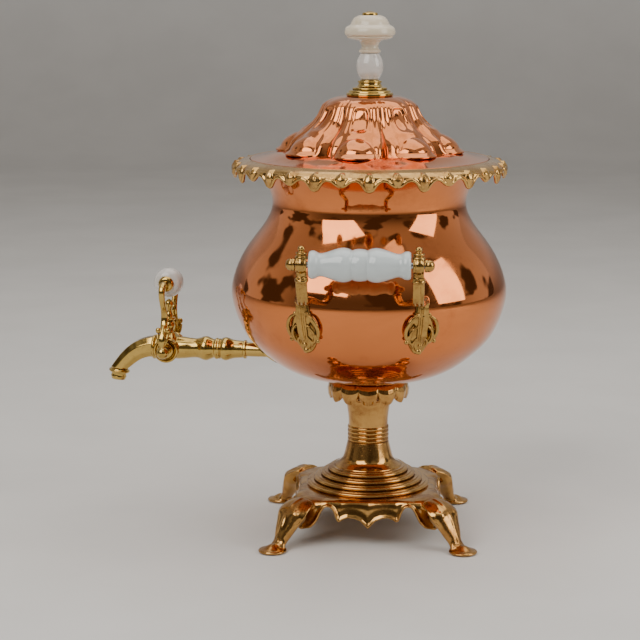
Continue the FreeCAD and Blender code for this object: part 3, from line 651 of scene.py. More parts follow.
@dataclass
class Studio:
    """Floor, backdrop, lamps, world and the camera at the photograph's angle. Sizes in metres."""
    lens: float = 109.99
    sensor: float = 36.0
    clip: float = 0.05
    place: tuple = (0.0, -1.694, 0.498)
    tilt: float = 10.398
    heading: float = 1.449
    reach: float = 5.0
    wall_at: float = 3.0
    wall_curve: float = 0.9
    wall_top: float = 4.2
    below: float = 0.0005
    pale: tuple = (0.80, 0.79, 0.77, 1.0)
    lamp_colour: tuple = (1.0, 0.965, 0.92)
    aim: tuple = (0.0, 0.0, 0.24)
    lamp_rows: tuple = (("key_lamp", (-0.9, -1.2, 1.5), (1.3, 1.3), 22.0),
                        ("side_lamp", (1.4, -0.5, 0.9), (0.8, 1.2), 11.0),
                        ("top_lamp", (0.1, 0.3, 1.9), (2.0, 2.0), 20.0))

    def build(self) -> None:
        """Makes the whole stage."""
        self.camera()
        self.floor()
        self.world()
        self.lamps()

    def camera(self) -> None:
        """Camera fitted to the photograph."""
        data = bpy.data.cameras.new("camera")
        data.lens = self.lens
        data.sensor_width = self.sensor
        data.clip_start = self.clip
        made = bpy.data.objects.new("camera", data)
        made.location = self.place
        made.rotation_euler = (math.radians(90.0 - self.tilt), 0.0, math.radians(self.heading))
        bpy.context.scene.collection.objects.link(made)
        bpy.context.scene.camera = made

    def floor(self) -> None:
        """Pale table that runs up into a backdrop far behind."""
        line = [(-self.reach, 0.0), (self.wall_at, 0.0)]
        for a in np.linspace(0.1, 1.5, 12):
            line.append((self.wall_at + self.wall_curve * math.sin(a), self.wall_curve * (1 - math.cos(a))))
        line.append((self.wall_at + 0.92, self.wall_top))
        form = Form()
        form.rows([[Vector((x / MM, y / MM, (z - self.below) / MM)) for y, z in line]
                   for x in (-self.reach, self.reach)], ring=False)
        mesh = bpy.data.meshes.new("table_and_backdrop")
        mesh.from_pydata([p * MM for p in form.points], [], form.faces)
        made = bpy.data.objects.new("table_and_backdrop", mesh)
        for face in mesh.polygons:
            face.use_smooth = True
        paint = bpy.data.materials.new("pale_table")
        paint.use_nodes = True
        w = Wiring(paint.node_tree)
        paint.node_tree.nodes.clear()
        where = w.node("ShaderNodeTexCoord").outputs["Object"]
        cloud = w.node("ShaderNodeTexNoise", Vector=where, Scale=6.0, Detail=3.0).outputs[0]
        tone = w.mix(w.span(cloud, 0.3, 0.7), (0.70, 0.69, 0.67), (0.74, 0.73, 0.71))
        path = w.node("ShaderNodeLightPath")
        seen = w.maths("MAXIMUM", path.outputs["Is Camera Ray"], path.outputs["Is Glossy Ray"])
        seen = w.maths("MAXIMUM", seen, path.outputs["Is Transmission Ray"])
        high = w.node("ShaderNodeSeparateXYZ", i0=where).outputs[2]
        glow = w.maths("MULTIPLY", seen, w.span(high, 0.0, 1.4, 0.0, 0.38))
        shader = w.node("ShaderNodeBsdfPrincipled", Base_Color=tone, Roughness=0.75, Emission_Color=self.pale,
                        Emission_Strength=glow)
        w.node("ShaderNodeOutputMaterial", Surface=shader.outputs[0])
        mesh.materials.append(paint)
        bpy.context.scene.collection.objects.link(made)

    def world(self) -> None:
        """Room that the metal mirrors: pale all round, with a darker side behind the camera."""
        world = bpy.data.worlds.new("room")
        bpy.context.scene.world = world
        world.use_nodes = True
        world.node_tree.nodes.clear()
        w = Wiring(world.node_tree)
        where = w.node("ShaderNodeTexCoord").outputs["Generated"]
        parts = w.node("ShaderNodeSeparateXYZ", i0=where)
        back = w.span(parts.outputs[1], -0.75, 0.35)
        tone = w.mix(back, (0.13, 0.118, 0.105), (0.62, 0.60, 0.57))
        high = w.span(parts.outputs[2], 0.25, 0.85)
        tone = w.mix(high, tone, (0.42, 0.40, 0.38))
        bands = w.node("ShaderNodeTexNoise", Vector=where, Scale=2.6, Detail=2.0).outputs[0]
        tone = w.mix(w.span(bands, 0.51, 0.58), tone, (0.075, 0.062, 0.05))
        sky = w.node("ShaderNodeBackground", Color=tone, Strength=1.0)
        plain = w.node("ShaderNodeBackground", Color=self.pale, Strength=1.0)
        seen = w.node("ShaderNodeLightPath").outputs["Is Camera Ray"]
        both = w.node("ShaderNodeMixShader", i0=seen, i1=sky.outputs[0], i2=plain.outputs[0])
        w.node("ShaderNodeOutputWorld", Surface=both.outputs[0])

    def lamps(self) -> None:
        """Three large soft lamps."""
        for name, place, size, power in self.lamp_rows:
            data = bpy.data.lights.new(name, "AREA")
            data.shape = "RECTANGLE"
            data.size, data.size_y = size
            data.energy = power
            data.color = self.lamp_colour
            made = bpy.data.objects.new(name, data)
            made.location = place
            made.rotation_euler = (Vector(self.aim) - Vector(place)).to_track_quat("-Z", "Y").to_euler()
            bpy.context.scene.collection.objects.link(made)


# Each finish's colour for hollows is painted shade, laid where ambient occlusion is high.
COPPER = Finish("polished_copper", "copper", (0.70, 0.222, 0.070), (0.52, 0.148, 0.043),
                hollow_shade_colour=(0.10, 0.03, 0.012), cover=0.40, patch=14.0, gloss=0.045, dull=0.16, marks=0.0022,
                dents=0.05, dent_scale=34.0, hollow=0.8)
LID_COPPER = Finish("lid_copper", "copper", (0.74, 0.250, 0.085), (0.56, 0.168, 0.052),
                    hollow_shade_colour=(0.12, 0.035, 0.015), cover=0.42, patch=22.0, gloss=0.06, dull=0.20, marks=0.003,
                    dents=0.03, dent_scale=70.0, hollow=0.8)
CAST_BRASS = Finish("cast_brass", "cast_brass", (0.57, 0.315, 0.096), (0.36, 0.168, 0.048),
                    hollow_shade_colour=(0.05, 0.020, 0.008), cover=0.48, patch=30.0, gloss=0.09, dull=0.27, marks=0.004,
                    dents=0.07, dent_scale=120.0)
HANDLE_BRASS = Finish("handle_brass", "cast_brass", (0.50, 0.300, 0.088), (0.30, 0.155, 0.042),
                      hollow_shade_colour=(0.045, 0.022, 0.008), cover=0.46, patch=60.0, gloss=0.10, dull=0.28, dents=0.04,
                      dent_scale=240.0, hollow_depth=0.0025)
RIM_BRASS = Finish("gallery_brass", "gallery_brass", (0.60, 0.355, 0.112), (0.40, 0.200, 0.060),
                   hollow_shade_colour=(0.06, 0.028, 0.010), cover=0.46, patch=50.0, gloss=0.10, dull=0.30, dents=0.05,
                   dent_scale=200.0, hollow_depth=0.004)
TAP_BRASS = Finish("turned_brass", "turned_brass", (0.58, 0.385, 0.105), (0.38, 0.230, 0.060),
                   hollow_shade_colour=(0.05, 0.03, 0.012), cover=0.42, patch=55.0, gloss=0.08, dull=0.24, dents=0.025,
                   dent_scale=180.0, hollow_depth=0.0025)
TIN = Finish("tinned_copper", "tinned_copper", (0.58, 0.57, 0.54), (0.40, 0.39, 0.36), cover=0.5, gloss=0.22,
             dull=0.42, marks=0.006)
STEEL = Finish("steel", "steel", (0.42, 0.42, 0.43), (0.27, 0.26, 0.26), gloss=0.22, dull=0.38, marks=0.006)
IRON = Finish("cast_iron", "cast_iron", (0.035, 0.034, 0.034), (0.075, 0.048, 0.036), cover=0.5, gloss=0.50,
              dull=0.80, dents=0.30, dent_scale=500.0, metallic=0.6)
RUBBER = Finish("rubber", "rubber", (0.022, 0.022, 0.022), (0.040, 0.038, 0.036), gloss=0.60, dull=0.80,
                metallic=0.0)
WHITE = Finish("white_ceramic", "white_ceramic", (0.66, 0.635, 0.60), (0.56, 0.525, 0.47),
               hollow_shade_colour=(0.16, 0.12, 0.08), cover=0.34, patch=45.0, gloss=0.10, dull=0.18, marks=0.0008,
               dents=0.02, dent_scale=160.0, hollow=0.55, metallic=0.0, coat=0.6)
CREAM = Finish("cream_ceramic", "cream_ceramic", (0.72, 0.625, 0.475), (0.60, 0.49, 0.33),
               hollow_shade_colour=(0.20, 0.13, 0.07), cover=0.36, patch=60.0, gloss=0.16, dull=0.34, marks=0.001,
               dents=0.05, dent_scale=260.0, hollow=0.7, metallic=0.0, coat=0.4)
PALE = Finish("pale_ceramic", "pale_ceramic", (0.61, 0.68, 0.69), (0.53, 0.60, 0.60),
              hollow_shade_colour=(0.22, 0.21, 0.18), cover=0.36, patch=40.0, gloss=0.09, dull=0.16, marks=0.0008,
              dents=0.025, dent_scale=150.0, hollow=0.6, metallic=0.0, coat=0.7)


@dataclass
class Base:
    """Square cast base on four cabriole legs. Sizes in millimetres."""
    half: float = 65.0
    corner: float = 22.0
    top: float = 40.0
    low: float = 15.4
    wall: float = 3.6
    pad_reach: float = 115.3
    pad_radius: float = 12.5
    rim: float = 1.25

    def square_radius(self, angle: float, half: float, corner: float) -> float:
        """Distance from the axis to a rounded square, along an angle in radians.

        Args:
            angle: direction from the axis.
            half: half the side.
            corner: radius of its corners.

        Returns:
            The distance.
        """
        a = abs((angle + math.pi / 4) % (math.pi / 2) - math.pi / 4)
        flat = half / math.cos(a)
        if flat * math.sin(a) <= half - corner:
            return flat
        centre = Vector((half - corner, half - corner))
        ray = Vector((math.cos(a), math.sin(a)))
        along = centre.dot(ray)
        return along + math.sqrt(max(along * along - centre.length_squared + corner * corner, 0.0))

    def edge_height(self, angle: float) -> float:
        """Height of the apron's lower edge: a scalloped middle, an arch each side and the legs.

        Args:
            angle: direction from the axis in radians.

        Returns:
            The height.
        """
        a = abs((angle + math.pi / 4) % (math.pi / 2) - math.pi / 4)
        across = self.half * math.tan(a)
        known = ((0.0, 15.4), (2.5, 18.4), (6.0, 22.0), (12.0, 24.6), (18.0, 25.2), (22.5, 23.4),
                 (25.6, 20.8), (27.2, 24.0), (29.2, 30.4), (31.8, 33.8), (35.0, 34.9), (38.4, 34.0),
                 (41.4, 30.4), (43.8, 24.6), (46.5, 20.0), (51.0, 16.0), (65.0, 13.0))
        return float(np.interp(across, [k[0] for k in known], [k[1] for k in known]))

    def profile(self, angle: float, inward: float) -> list[Vector]:
        """One line from the stem's foot over the plate and down the hollow of the apron.

        Args:
            angle: direction from the axis in radians.
            inward: how far inside the outer skin.

        Returns:
            The line's points.
        """
        reach = self.square_radius(angle, self.half, self.corner) - inward
        edge = self.edge_height(angle)
        rows = ((30.0, self.top), (14.0, self.top - 0.2), (8.5, self.top - 1.0), (5.2, self.top - 2.6),
                (3.4, self.top - 5.4), (2.7, self.top - 9.0), (2.4, self.top - 13.0), (1.6, self.top - 18.0),
                (0.5, self.top - 22.4), (0.0, self.low))
        full = self.top - self.low
        reach_down = (self.top - edge) / full
        line = []
        for inset, z in rows:
            drop = (self.top - z) * reach_down - (inward * 0.9 if inset > 8 else 0.0)
            r = max(reach - inset, 8.0) if inset < 30 else 8.0
            height = self.top - max(drop, 0.0) - (inward if inset > 8 else 0.4 * inward if inset > 3 else 0.0)
            line.append(polar(r, angle, height))
        return line

    def build(self) -> None:
        """Casts shell, rim and legs into one piece."""
        count = 480
        turns = [2 * math.pi * k / count for k in range(count)]
        outer = [self.profile(a, 0.0) for a in turns]
        inner = [self.profile(a, self.wall) for a in turns]
        form = Form()
        loop = [o + list(reversed(i)) for o, i in zip(outer, inner)]
        rows = [[loop[k][j] for k in range(count)] for j in range(len(loop[0]))]
        form.rows(rows + [rows[0]])
        bead = []
        for a in turns:
            r = self.square_radius(a, self.half, self.corner) - 0.7
            bead.append(polar(r, a, self.edge_height(a) + 0.9))
        form.tube(bead, self.rim, 10, closed=True)
        for k in range(4):
            form.join(self.leg().moved(about_urn(45 + 90 * k)))
        form.piece("base_casting_looks", CAST_BRASS, stands_for=("base_casting",), melt=0.85, ease=5)

    def leg(self) -> Form:
        """One cabriole leg along +X: shield knee, thin ankle, hoof pad."""
        form = Form()
        knee = smooth_line([(77.0, 0, 36.6), (84.5, 0, 34.6), (91.8, 0, 28.6), (97.8, 0, 21.0),
                            (102.6, 0, 13.4), (106.2, 0, 7.4), (109.0, 0, 3.4)], 4)
        widths = smooth_line([(10.5, 4.0), (14.6, 6.6), (15.4, 7.6), (12.6, 6.6), (8.4, 5.2), (6.6, 4.2),
                              (8.2, 3.0)], 4)
        form.sweep(knee, widths, 28, square=0.82)
        ridge = smooth_line([(80.0, 0, 40.2), (89.5, 0, 37.6), (98.4, 0, 30.6), (103.8, 0, 21.6),
                             (107.4, 0, 13.4), (110.0, 0, 7.6)], 5)
        form.tube(ridge, 1.5, 8)
        for side in (-1, 1):
            edge = smooth_line([(78.0, 11.0 * side, 37.2), (86.0, 14.2 * side, 34.4),
                                (93.4, 14.6 * side, 27.6), (98.2, 11.4 * side, 20.2),
                                (102.6, 7.4 * side, 13.0), (106.0, 5.8 * side, 7.0)], 5)
            form.tube(edge, 1.25, 8)
            form.knob(Vector((96.0, 7.0 * side, 27.8)), (4.2, 5.6, 6.4), steps=16)
        pad = outline((0.01, 0.0), (self.pad_radius - 1.3, 0.0),
                      [(self.pad_radius, 1.2), (self.pad_radius - 1.2, 2.4)],
                      [(8.6, 3.0), (6.0, 4.2), (3.0, 6.0), (0.01, 6.8)], corner=0.3)
        form.lathe(pad, Matrix.Translation((self.pad_reach, 0, 0)), 40)
        toe = smooth_line([(106.0, 0, 7.0), (110.5, 0, 5.2), (116.5, 0, 3.0), (122.0, 0, 1.8)], 4)
        form.sweep(toe, smooth_line([(5.0, 2.6), (6.2, 2.4), (6.0, 1.8), (3.0, 0.9)], 4), 16)
        return form


@dataclass
class Pedestal:
    """Turned stem with its stepped foot, and the collar of leaves above."""
    top: float = 40.0
    foot_radius: float = 54.5
    steps: int = 4
    inset: float = 6.3
    rise: float = 4.2
    waist_radius: float = 17.4
    waist: float = 79.0
    rings: int = 4
    pitch: float = 3.6
    leaves: int = 12

    def build(self) -> None:
        """Makes the stem and the collar."""
        moves: list = [(6.0, self.top)]
        for k in range(self.steps):
            radius, low = self.foot_radius - k * self.inset, self.top + k * self.rise
            moves += [(radius - 0.9, low), [(radius, low + 1.5), (radius - 1.2, low + 3.0)],
                      (radius - 2.6, low + 3.2), [(radius - 3.1, low + 3.7), (radius - 2.9, low + self.rise)]]
        high = self.top + self.steps * self.rise
        moves += [(30.0, high), (29.6, high + 0.9), [(23.5, high + 5), (21.0, high + 11), (18.2, self.waist)]]
        for k in range(self.rings):
            low = self.waist + k * self.pitch
            waist = self.waist_radius
            moves += [(waist, low), [(waist + 0.95, low + self.pitch / 2), (waist, low + self.pitch)]]
        moves += [[(17.5, 98.0), (18.6, 108.0), (19.9, 117.0)], [(20.9, 118.2), (19.9, 119.4)],
                  [(20.0, 120.6), (21.4, 122.6)], (23.5, 126.0), (6.0, 126.0)]
        stem = Form().lathe(outline(*moves, corner=0.35), steps=160)
        stem.piece("pedestal_stem_looks", CAST_BRASS, stands_for=("pedestal_stem",), sharp=50)
        self.collar()

    def collar(self) -> None:
        """Twelve drooping leaves with raised veins, cut apart at their tips."""
        count, rows = self.leaves * 30, []
        pitch = 2 * math.pi / self.leaves
        for t in np.linspace(0.0, 1.0, 26):
            row = []
            for k in range(count):
                a = 2 * math.pi * k / count
                x = ((a / pitch + 0.5) % 1.0 - 0.5) * 2
                tip = 117.0 + 5.5 * abs(x) ** 2.2
                path_r = np.interp(t, (0, .18, .38, .6, .8, 1), (29.5, 32.6, 35.0, 36.0, 35.4, 33.6))
                path_z = 135.0 + (tip - 135.0) * float(np.interp(t, (0, .18, .38, .6, .8, 1),
                                                                 (0, .06, .22, .48, .76, 1)))
                swell = 1.2 * math.cos(x * math.pi / 2) ** 0.8 * min(1.0, 2.5 * t) - 1.0 * (abs(x) > 0.9) * t
                vein = 0.45 * math.exp(-(x / 0.10) ** 2) * t
                r = path_r - 1.3 + swell + vein
                row.append(polar(r, a, path_z))
            rows.append(row)
        under = []
        for t in np.linspace(1.0, 0.0, 10):
            row = []
            for k in range(count):
                a = 2 * math.pi * k / count
                x = ((a / pitch + 0.5) % 1.0 - 0.5) * 2
                tip = 117.2 + 5.5 * abs(x) ** 2.2
                r = np.interp(t, (0, 0.3, 1), (22.0, 29.0, 31.4))
                z = tip * t + 126.0 * (1 - t)
                row.append(polar(r, a, z))
            under.append(row)
        form = Form().rows(rows + under)
        form.piece("leaf_collar_looks", CAST_BRASS, stands_for=("leaf_collar",), sharp=48)


@dataclass
class Bowl:
    """Copper bowl with its brass gallery of curled leaves."""
    wall: float = 1.2
    bottom: float = 135.6
    flat: float = 30.0
    profile: tuple = ((58.8, 141.2), (78.2, 150.0), (93.9, 162.0), (107.0, 176.0), (114.3, 190.0),
                      (118.9, 204.0), (120.3, 216.0), (118.1, 228.0), (112.6, 242.0), (104.2, 256.0),
                      (94.0, 269.5), (87.0, 281.0), (84.3, 291.0), (86.0, 301.0), (91.0, 311.0),
                      (98.0, 320.5))
    pairs: int = 16

    @cached_property
    def surface(self) -> list[Point]:
        """Outer line of the bowl from its flat up to the mouth."""
        return smooth_line([(self.flat, self.bottom), *self.profile], 14)

    @cached_property
    def heights(self) -> tuple[list[float], list[float]]:
        """Heights and radii of the outer surface."""
        return [z for _, z in self.surface], [r for r, _ in self.surface]

    def radius_at(self, height: float) -> float:
        """Outer radius at a height."""
        return float(np.interp(height, *self.heights))

    def build(self) -> None:
        """Makes the bowl and the gallery."""
        outer = self.surface
        last = len(outer) - 1
        slope = [Vector(outer[min(i + 1, last)]) - Vector(outer[max(i - 1, 0)]) for i in range(last + 1)]
        inner = [(r - self.wall * d.y / d.length, z + self.wall * d.x / d.length)
                 for (r, z), d in zip(outer, slope)]
        line = [(5.2, self.bottom), *outer, (103.0, 321.6), (103.3, 322.2), (102.6, 322.6), *reversed(inner),
                (5.2, self.bottom + self.wall)]
        Form().lathe(line, steps=256).piece("urn_bowl_looks", COPPER, stands_for=("urn_body",), sharp=50)
        self.gallery()

    def lower_edge(self, x: float) -> float:
        """Height of the gallery's scalloped edge. x runs from a long leaf (0) to a short one (1).

        Args:
            x: share of the way.

        Returns:
            The height.
        """
        known = ((0.0, 313.4), (0.12, 314.4), (0.2, 317.6), (0.32, 321.0), (0.48, 322.6), (0.66, 321.6),
                 (0.8, 319.2), (0.9, 317.6), (1.0, 317.2))
        return float(np.interp(x, [k[0] for k in known], [k[1] for k in known]))

    def gallery(self) -> None:
        """Rim, scalloped skirt with a rolled edge, and curled leaf tips, long and short in turn."""
        form = Form()
        count = self.pairs * 2
        rim = outline((103.65, 327.4), (103.65, 330.0), [(104.4, 330.5), (105.6, 330.2)],
                      [(109.0, 329.3), (113.0, 327.8), (116.0, 325.7), (117.4, 323.2)], (117.0, 321.8),
                      (113.6, 321.9), [(110.0, 323.0), (104.0, 322.8)], (95.6, 322.8), (95.6, 327.4),
                      (103.65, 327.4))
        form.lathe(rim, steps=192)
        steps = 18
        for k in range(count):
            long = k % 2 == 0
            bead = []
            for i in range(steps + 1):
                x = i / steps
                share = x if long else 1 - x
                a = 2 * math.pi * (k + x) / count
                z = self.lower_edge(share)
                r = 117.5 - 0.35 * (322.6 - z) * 0.3
                bead.append(polar(r, a, z + 0.6))
            form.tube(bead, 1.55, 10)
            web = [[Vector((v.x * 0.990, v.y * 0.990, v.z)) for v in bead],
                   [Vector((v.x * 0.985, v.y * 0.985, 325.5)) for v in bead],
                   [Vector((v.x * 0.998, v.y * 0.998, 325.5)) for v in bead],
                   [Vector((v.x * 1.002, v.y * 1.002, v.z)) for v in bead]]
            form.rows(web + [web[0]], ring=False)
            form.join(self.leaf(long).moved(about_urn(360 * k / count)))
        form.piece("rim_gallery_looks", RIM_BRASS, stands_for=("rim_gallery",), melt=0.62, ease=3)

    @staticmethod
    def leaf(long: bool) -> Form:
        """One rounded leaf tip along +X that curls over the rim and down.

        Args:
            long: whether it is one of the long ones.

        Returns:
            The leaf.
        """
        tip = 312.2 if long else 316.0
        path = smooth_line([(110.5, 0, 327.6), (114.4, 0, 327.0), (117.1, 0, 324.6), (117.75, 0, 321.4),
                            (117.2, 0, (321.4 + tip) / 2), (115.8, 0, tip + 0.6)], 4)
        wide = 4.0 if long else 4.4
        widths = smooth_line([(1.2, 0.8), (2.8, 1.5), (wide, 1.9), (wide, 2.1), (wide * 0.86, 1.9),
                              (1.5, 0.9)], 4)
        form = Form().sweep(path, widths, 20)
        vein = [(x + 1.5, y, z + 0.9 if x < 116 else z) for x, y, z in path[4:-3]]
        return form.tube(vein, 0.75, 8)


@dataclass
class Lid:
    """Lobed copper lid with its brass and ceramic finial."""
    turn: float = -100.0
    lobes: int = 8
    sheet: float = 1.1
    bulge_rise: float = 5.8
    bulge_share: float = 0.63
    bulge_middle: float = 338.2
    bulge_height: float = 14.0
    rail_share: float = 0.60
    rail_width: float = 0.10
    flutes: tuple = (0.83, 1.0)
    flute_width: float = 0.06
    panel_share: float = 0.40
    panel_middle: float = 366.4
    panel_height: float = 10.6
    panel_depth: float = 1.7
    lip: float = 337.2
    levels: tuple = ((336.0, 76.4, 66.0), (341.0, 75.6, 63.5), (346.5, 72.6, 60.0), (352.6, 64.0, 53.5),
                     (360.0, 52.2, 46.0), (369.0, 44.4, 41.0), (377.5, 39.6, 37.4), (383.4, 27.0, 26.4))
    collar_low: float = 383.6
    ball_low: float = 397.7
    knob_low: float = 420.8
    cap_low: float = 452.6

    def build(self) -> None:
        """Makes plate, dome and finial."""
        self.plate()
        self.dome()
        self.finial()

    def plate(self) -> None:
        """Shallow copper cone round the dome, with a turned rim."""
        line = outline((62.6, 335.9), (64.0, 335.9), (70.0, 333.8),
                       [(86.0, 331.4), (98.0, 329.4), (102.2, 327.6)], (103.25, 327.6), (103.25, 330.0),
                       [(102.9, 330.55), (102.2, 330.6)],
                       [(97.0, 331.4), (88.0, 333.4), (78.0, 336.2), (70.0, 337.2)], (62.6, 337.2),
                       corner=0.3)
        Form().lathe(line, steps=240).piece("lid_plate", LID_COPPER, Body.LID, ("lid_dome",), sharp=50)

    def dome(self) -> None:
        """Eight lobes that swell at the foot, each with a sunken panel and beaded edges."""
        per = 64
        count = self.lobes * per
        fine = smooth_line([(lobe, z) for z, lobe, _ in self.levels], 14)
        lobe_z = [z for _, z in fine]
        lobe_r = [r for r, _ in fine]
        low = smooth_line([(valley, z) for z, _, valley in self.levels], 14)
        valley_z, valley_r = [z for _, z in low], [r for r, _ in low]
        rows = []
        for z in np.concatenate([np.linspace(336.2, 356.0, 52), np.linspace(356.6, 383.5, 60)]):
            far, near = float(np.interp(z, lobe_z, lobe_r)), float(np.interp(z, valley_z, valley_r))
            row = []
            for k in range(count):
                x = (k % per) / per * 2 - 1
                row.append(self.surface(abs(x), float(z), near, far, 2 * math.pi * k / count))
            rows.append(row)
        top = [[Vector((v.x * s, v.y * s, 383.55 + 0.05 * (1 - s))) for v in rows[-1]]
               for s in (0.9, 0.6, 0.2)]
        inner = []
        for row in rows[::-3]:
            inner.append([Vector((v.x * (1 - self.sheet / v.xy.length), v.y * (1 - self.sheet / v.xy.length),
                                  v.z - 0.5 * self.sheet)) for v in row])
        inner[-1] = [Vector((v.x, v.y, rows[0][0].z)) for v in inner[-1]]
        form = Form().rows(rows + top + inner + [rows[0]])
        made = form.moved(about_urn(self.turn + 180 / self.lobes))
        made.piece("lid_lobes", LID_COPPER, Body.LID, sharp=70)

    def surface(self, x: float, z: float, near: float, far: float, angle: float) -> Vector:
        """One point of the dome.

        Args:
            x: distance from the lobe's middle, 0 to 1 at the valley.
            z: height.
            near: radius in the valley.
            far: radius on the lobe's crest.
            angle: turn about the axis.

        Returns:
            The point in millimetres.
        """
        foot = 1 - ramp(z, 349.0, 357.0)
        high = ramp(z, 353.0, 359.0) * (1 - ramp(z, 375.0, 382.5))
        r = near + (far - near) * math.cos(x * math.pi / 2) ** 0.75
        r -= 3.2 * foot * (1 - ramp(x, 0.50, 0.86)) * ramp(z, 337.0, 341.0)
        inside = 1 - (x / self.bulge_share) ** 2 - ((z - self.bulge_middle) / self.bulge_height) ** 2
        r += self.bulge_rise * max(0.0, inside) ** 0.5
        rail = self.rail_share + 0.13 * foot
        r += (0.75 * high + 1.2 * foot) * math.exp(-((x - rail) / self.rail_width) ** 2)
        for flute in self.flutes:
            r += (0.15 + 0.45 * high) * math.exp(-((x - flute) / self.flute_width) ** 2)
        aside, above = x / self.panel_share, (z - self.panel_middle) / self.panel_height
        frame_way = (abs(aside) ** 4 + abs(above) ** 4) ** 0.25
        r += 0.6 * math.exp(-((frame_way - 1.0) / 0.13) ** 2)
        r -= self.panel_depth * (1 - ramp(frame_way, 0.66, 0.98))
        r += 0.6 * math.exp(-(x / 0.13) ** 2) * math.exp(-((z - 364.6) / 6.0) ** 2)
        r += 0.8 * math.exp(-((z - self.lip) / 0.9) ** 2) * (1 - ramp(x, 0.60, 0.80))
        return polar(r, angle, z)

    def finial(self) -> None:
        """Stepped collar, ball, mushroom knob and cap nut."""
        low, high = self.collar_low, self.ball_low
        collar = outline((2.6, low), (19.4, low), [(20.4, low + 1.5), (19.6, low + 3.2)], (18.4, low + 3.6),
                         [(18.0, low + 4.6), (15.6, low + 5.4)], (14.4, low + 5.6),
                         [(15.1, low + 6.6), (14.2, low + 7.7)], (12.2, low + 8.1),
                         [(10.2, low + 9.6), (9.6, low + 11.4)], [(10.5, low + 12.4), (9.8, low + 13.4)],
                         (8.5, low + 13.7), (8.5, high), (2.6, high), corner=0.25)
        Form().lathe(collar, steps=96).piece("finial_collar_looks", TAP_BRASS, Body.LID, ("finial_collar",),
                                             sharp=50)
        low, high = self.ball_low, self.knob_low
        ball = outline((2.6, low), (6.0, low), [(7.6, low + 0.5), (8.6, low + 1.9)],
                       [(11.6, low + 11.5), (8.6, high - 1.9)], [(7.6, high - 0.5), (6.0, high)], (2.6, high),
                       corner=0.25)
        Form().lathe(ball, steps=96).piece("finial_ball_looks", WHITE, Body.LID, ("finial_ball",), sharp=60)
        low, high = self.knob_low, self.cap_low
        knob = outline((2.6, low), (8.4, low), [(9.5, low + 1.2), (8.9, low + 2.5)], (8.1, low + 2.9),
                       [(7.2, low + 5.4), (8.0, low + 7.8)],
                       [(9.0, low + 9.4), (11.6, low + 10.7), (15.6, low + 11.4), (18.6, low + 12.6)],
                       [(19.9, low + 13.2), (19.6, low + 14.2)],
                       [(21.6, low + 15.6), (21.85, low + 17.8), (20.8, low + 21.2), (17.6, low + 23.4)],
                       (16.8, low + 23.9), [(15.9, low + 26.0), (13.4, low + 29.6), (9.0, high)],
                       (2.6, high), corner=0.25)
        form = Form().lathe(knob, steps=128)
        for p in form.points:
            around = math.degrees(math.atan2(p.y, p.x))
            chip = math.exp(-((around + 38) / 7.0) ** 2) * math.exp(-((p.z - low - 10.6) / 1.3) ** 2)
            p.x *= 1 - 0.10 * chip
            p.y *= 1 - 0.10 * chip
        form.piece("finial_knob_looks", CREAM, Body.LID, ("finial_knob",), sharp=60)
        low = self.cap_low
        cap = outline((0.01, low), (6.7, low), (6.7, low + 1.2), [(6.3, low + 1.9), (5.2, low + 2.4)],
                      (4.4, low + 2.5), [(2.6, low + 3.1), (0.01, low + 3.38)], corner=0.2)
        Form().lathe(cap, steps=64).piece("finial_cap_looks", TAP_BRASS, Body.LID, ("finial_cap_nut",),
                                          sharp=50)


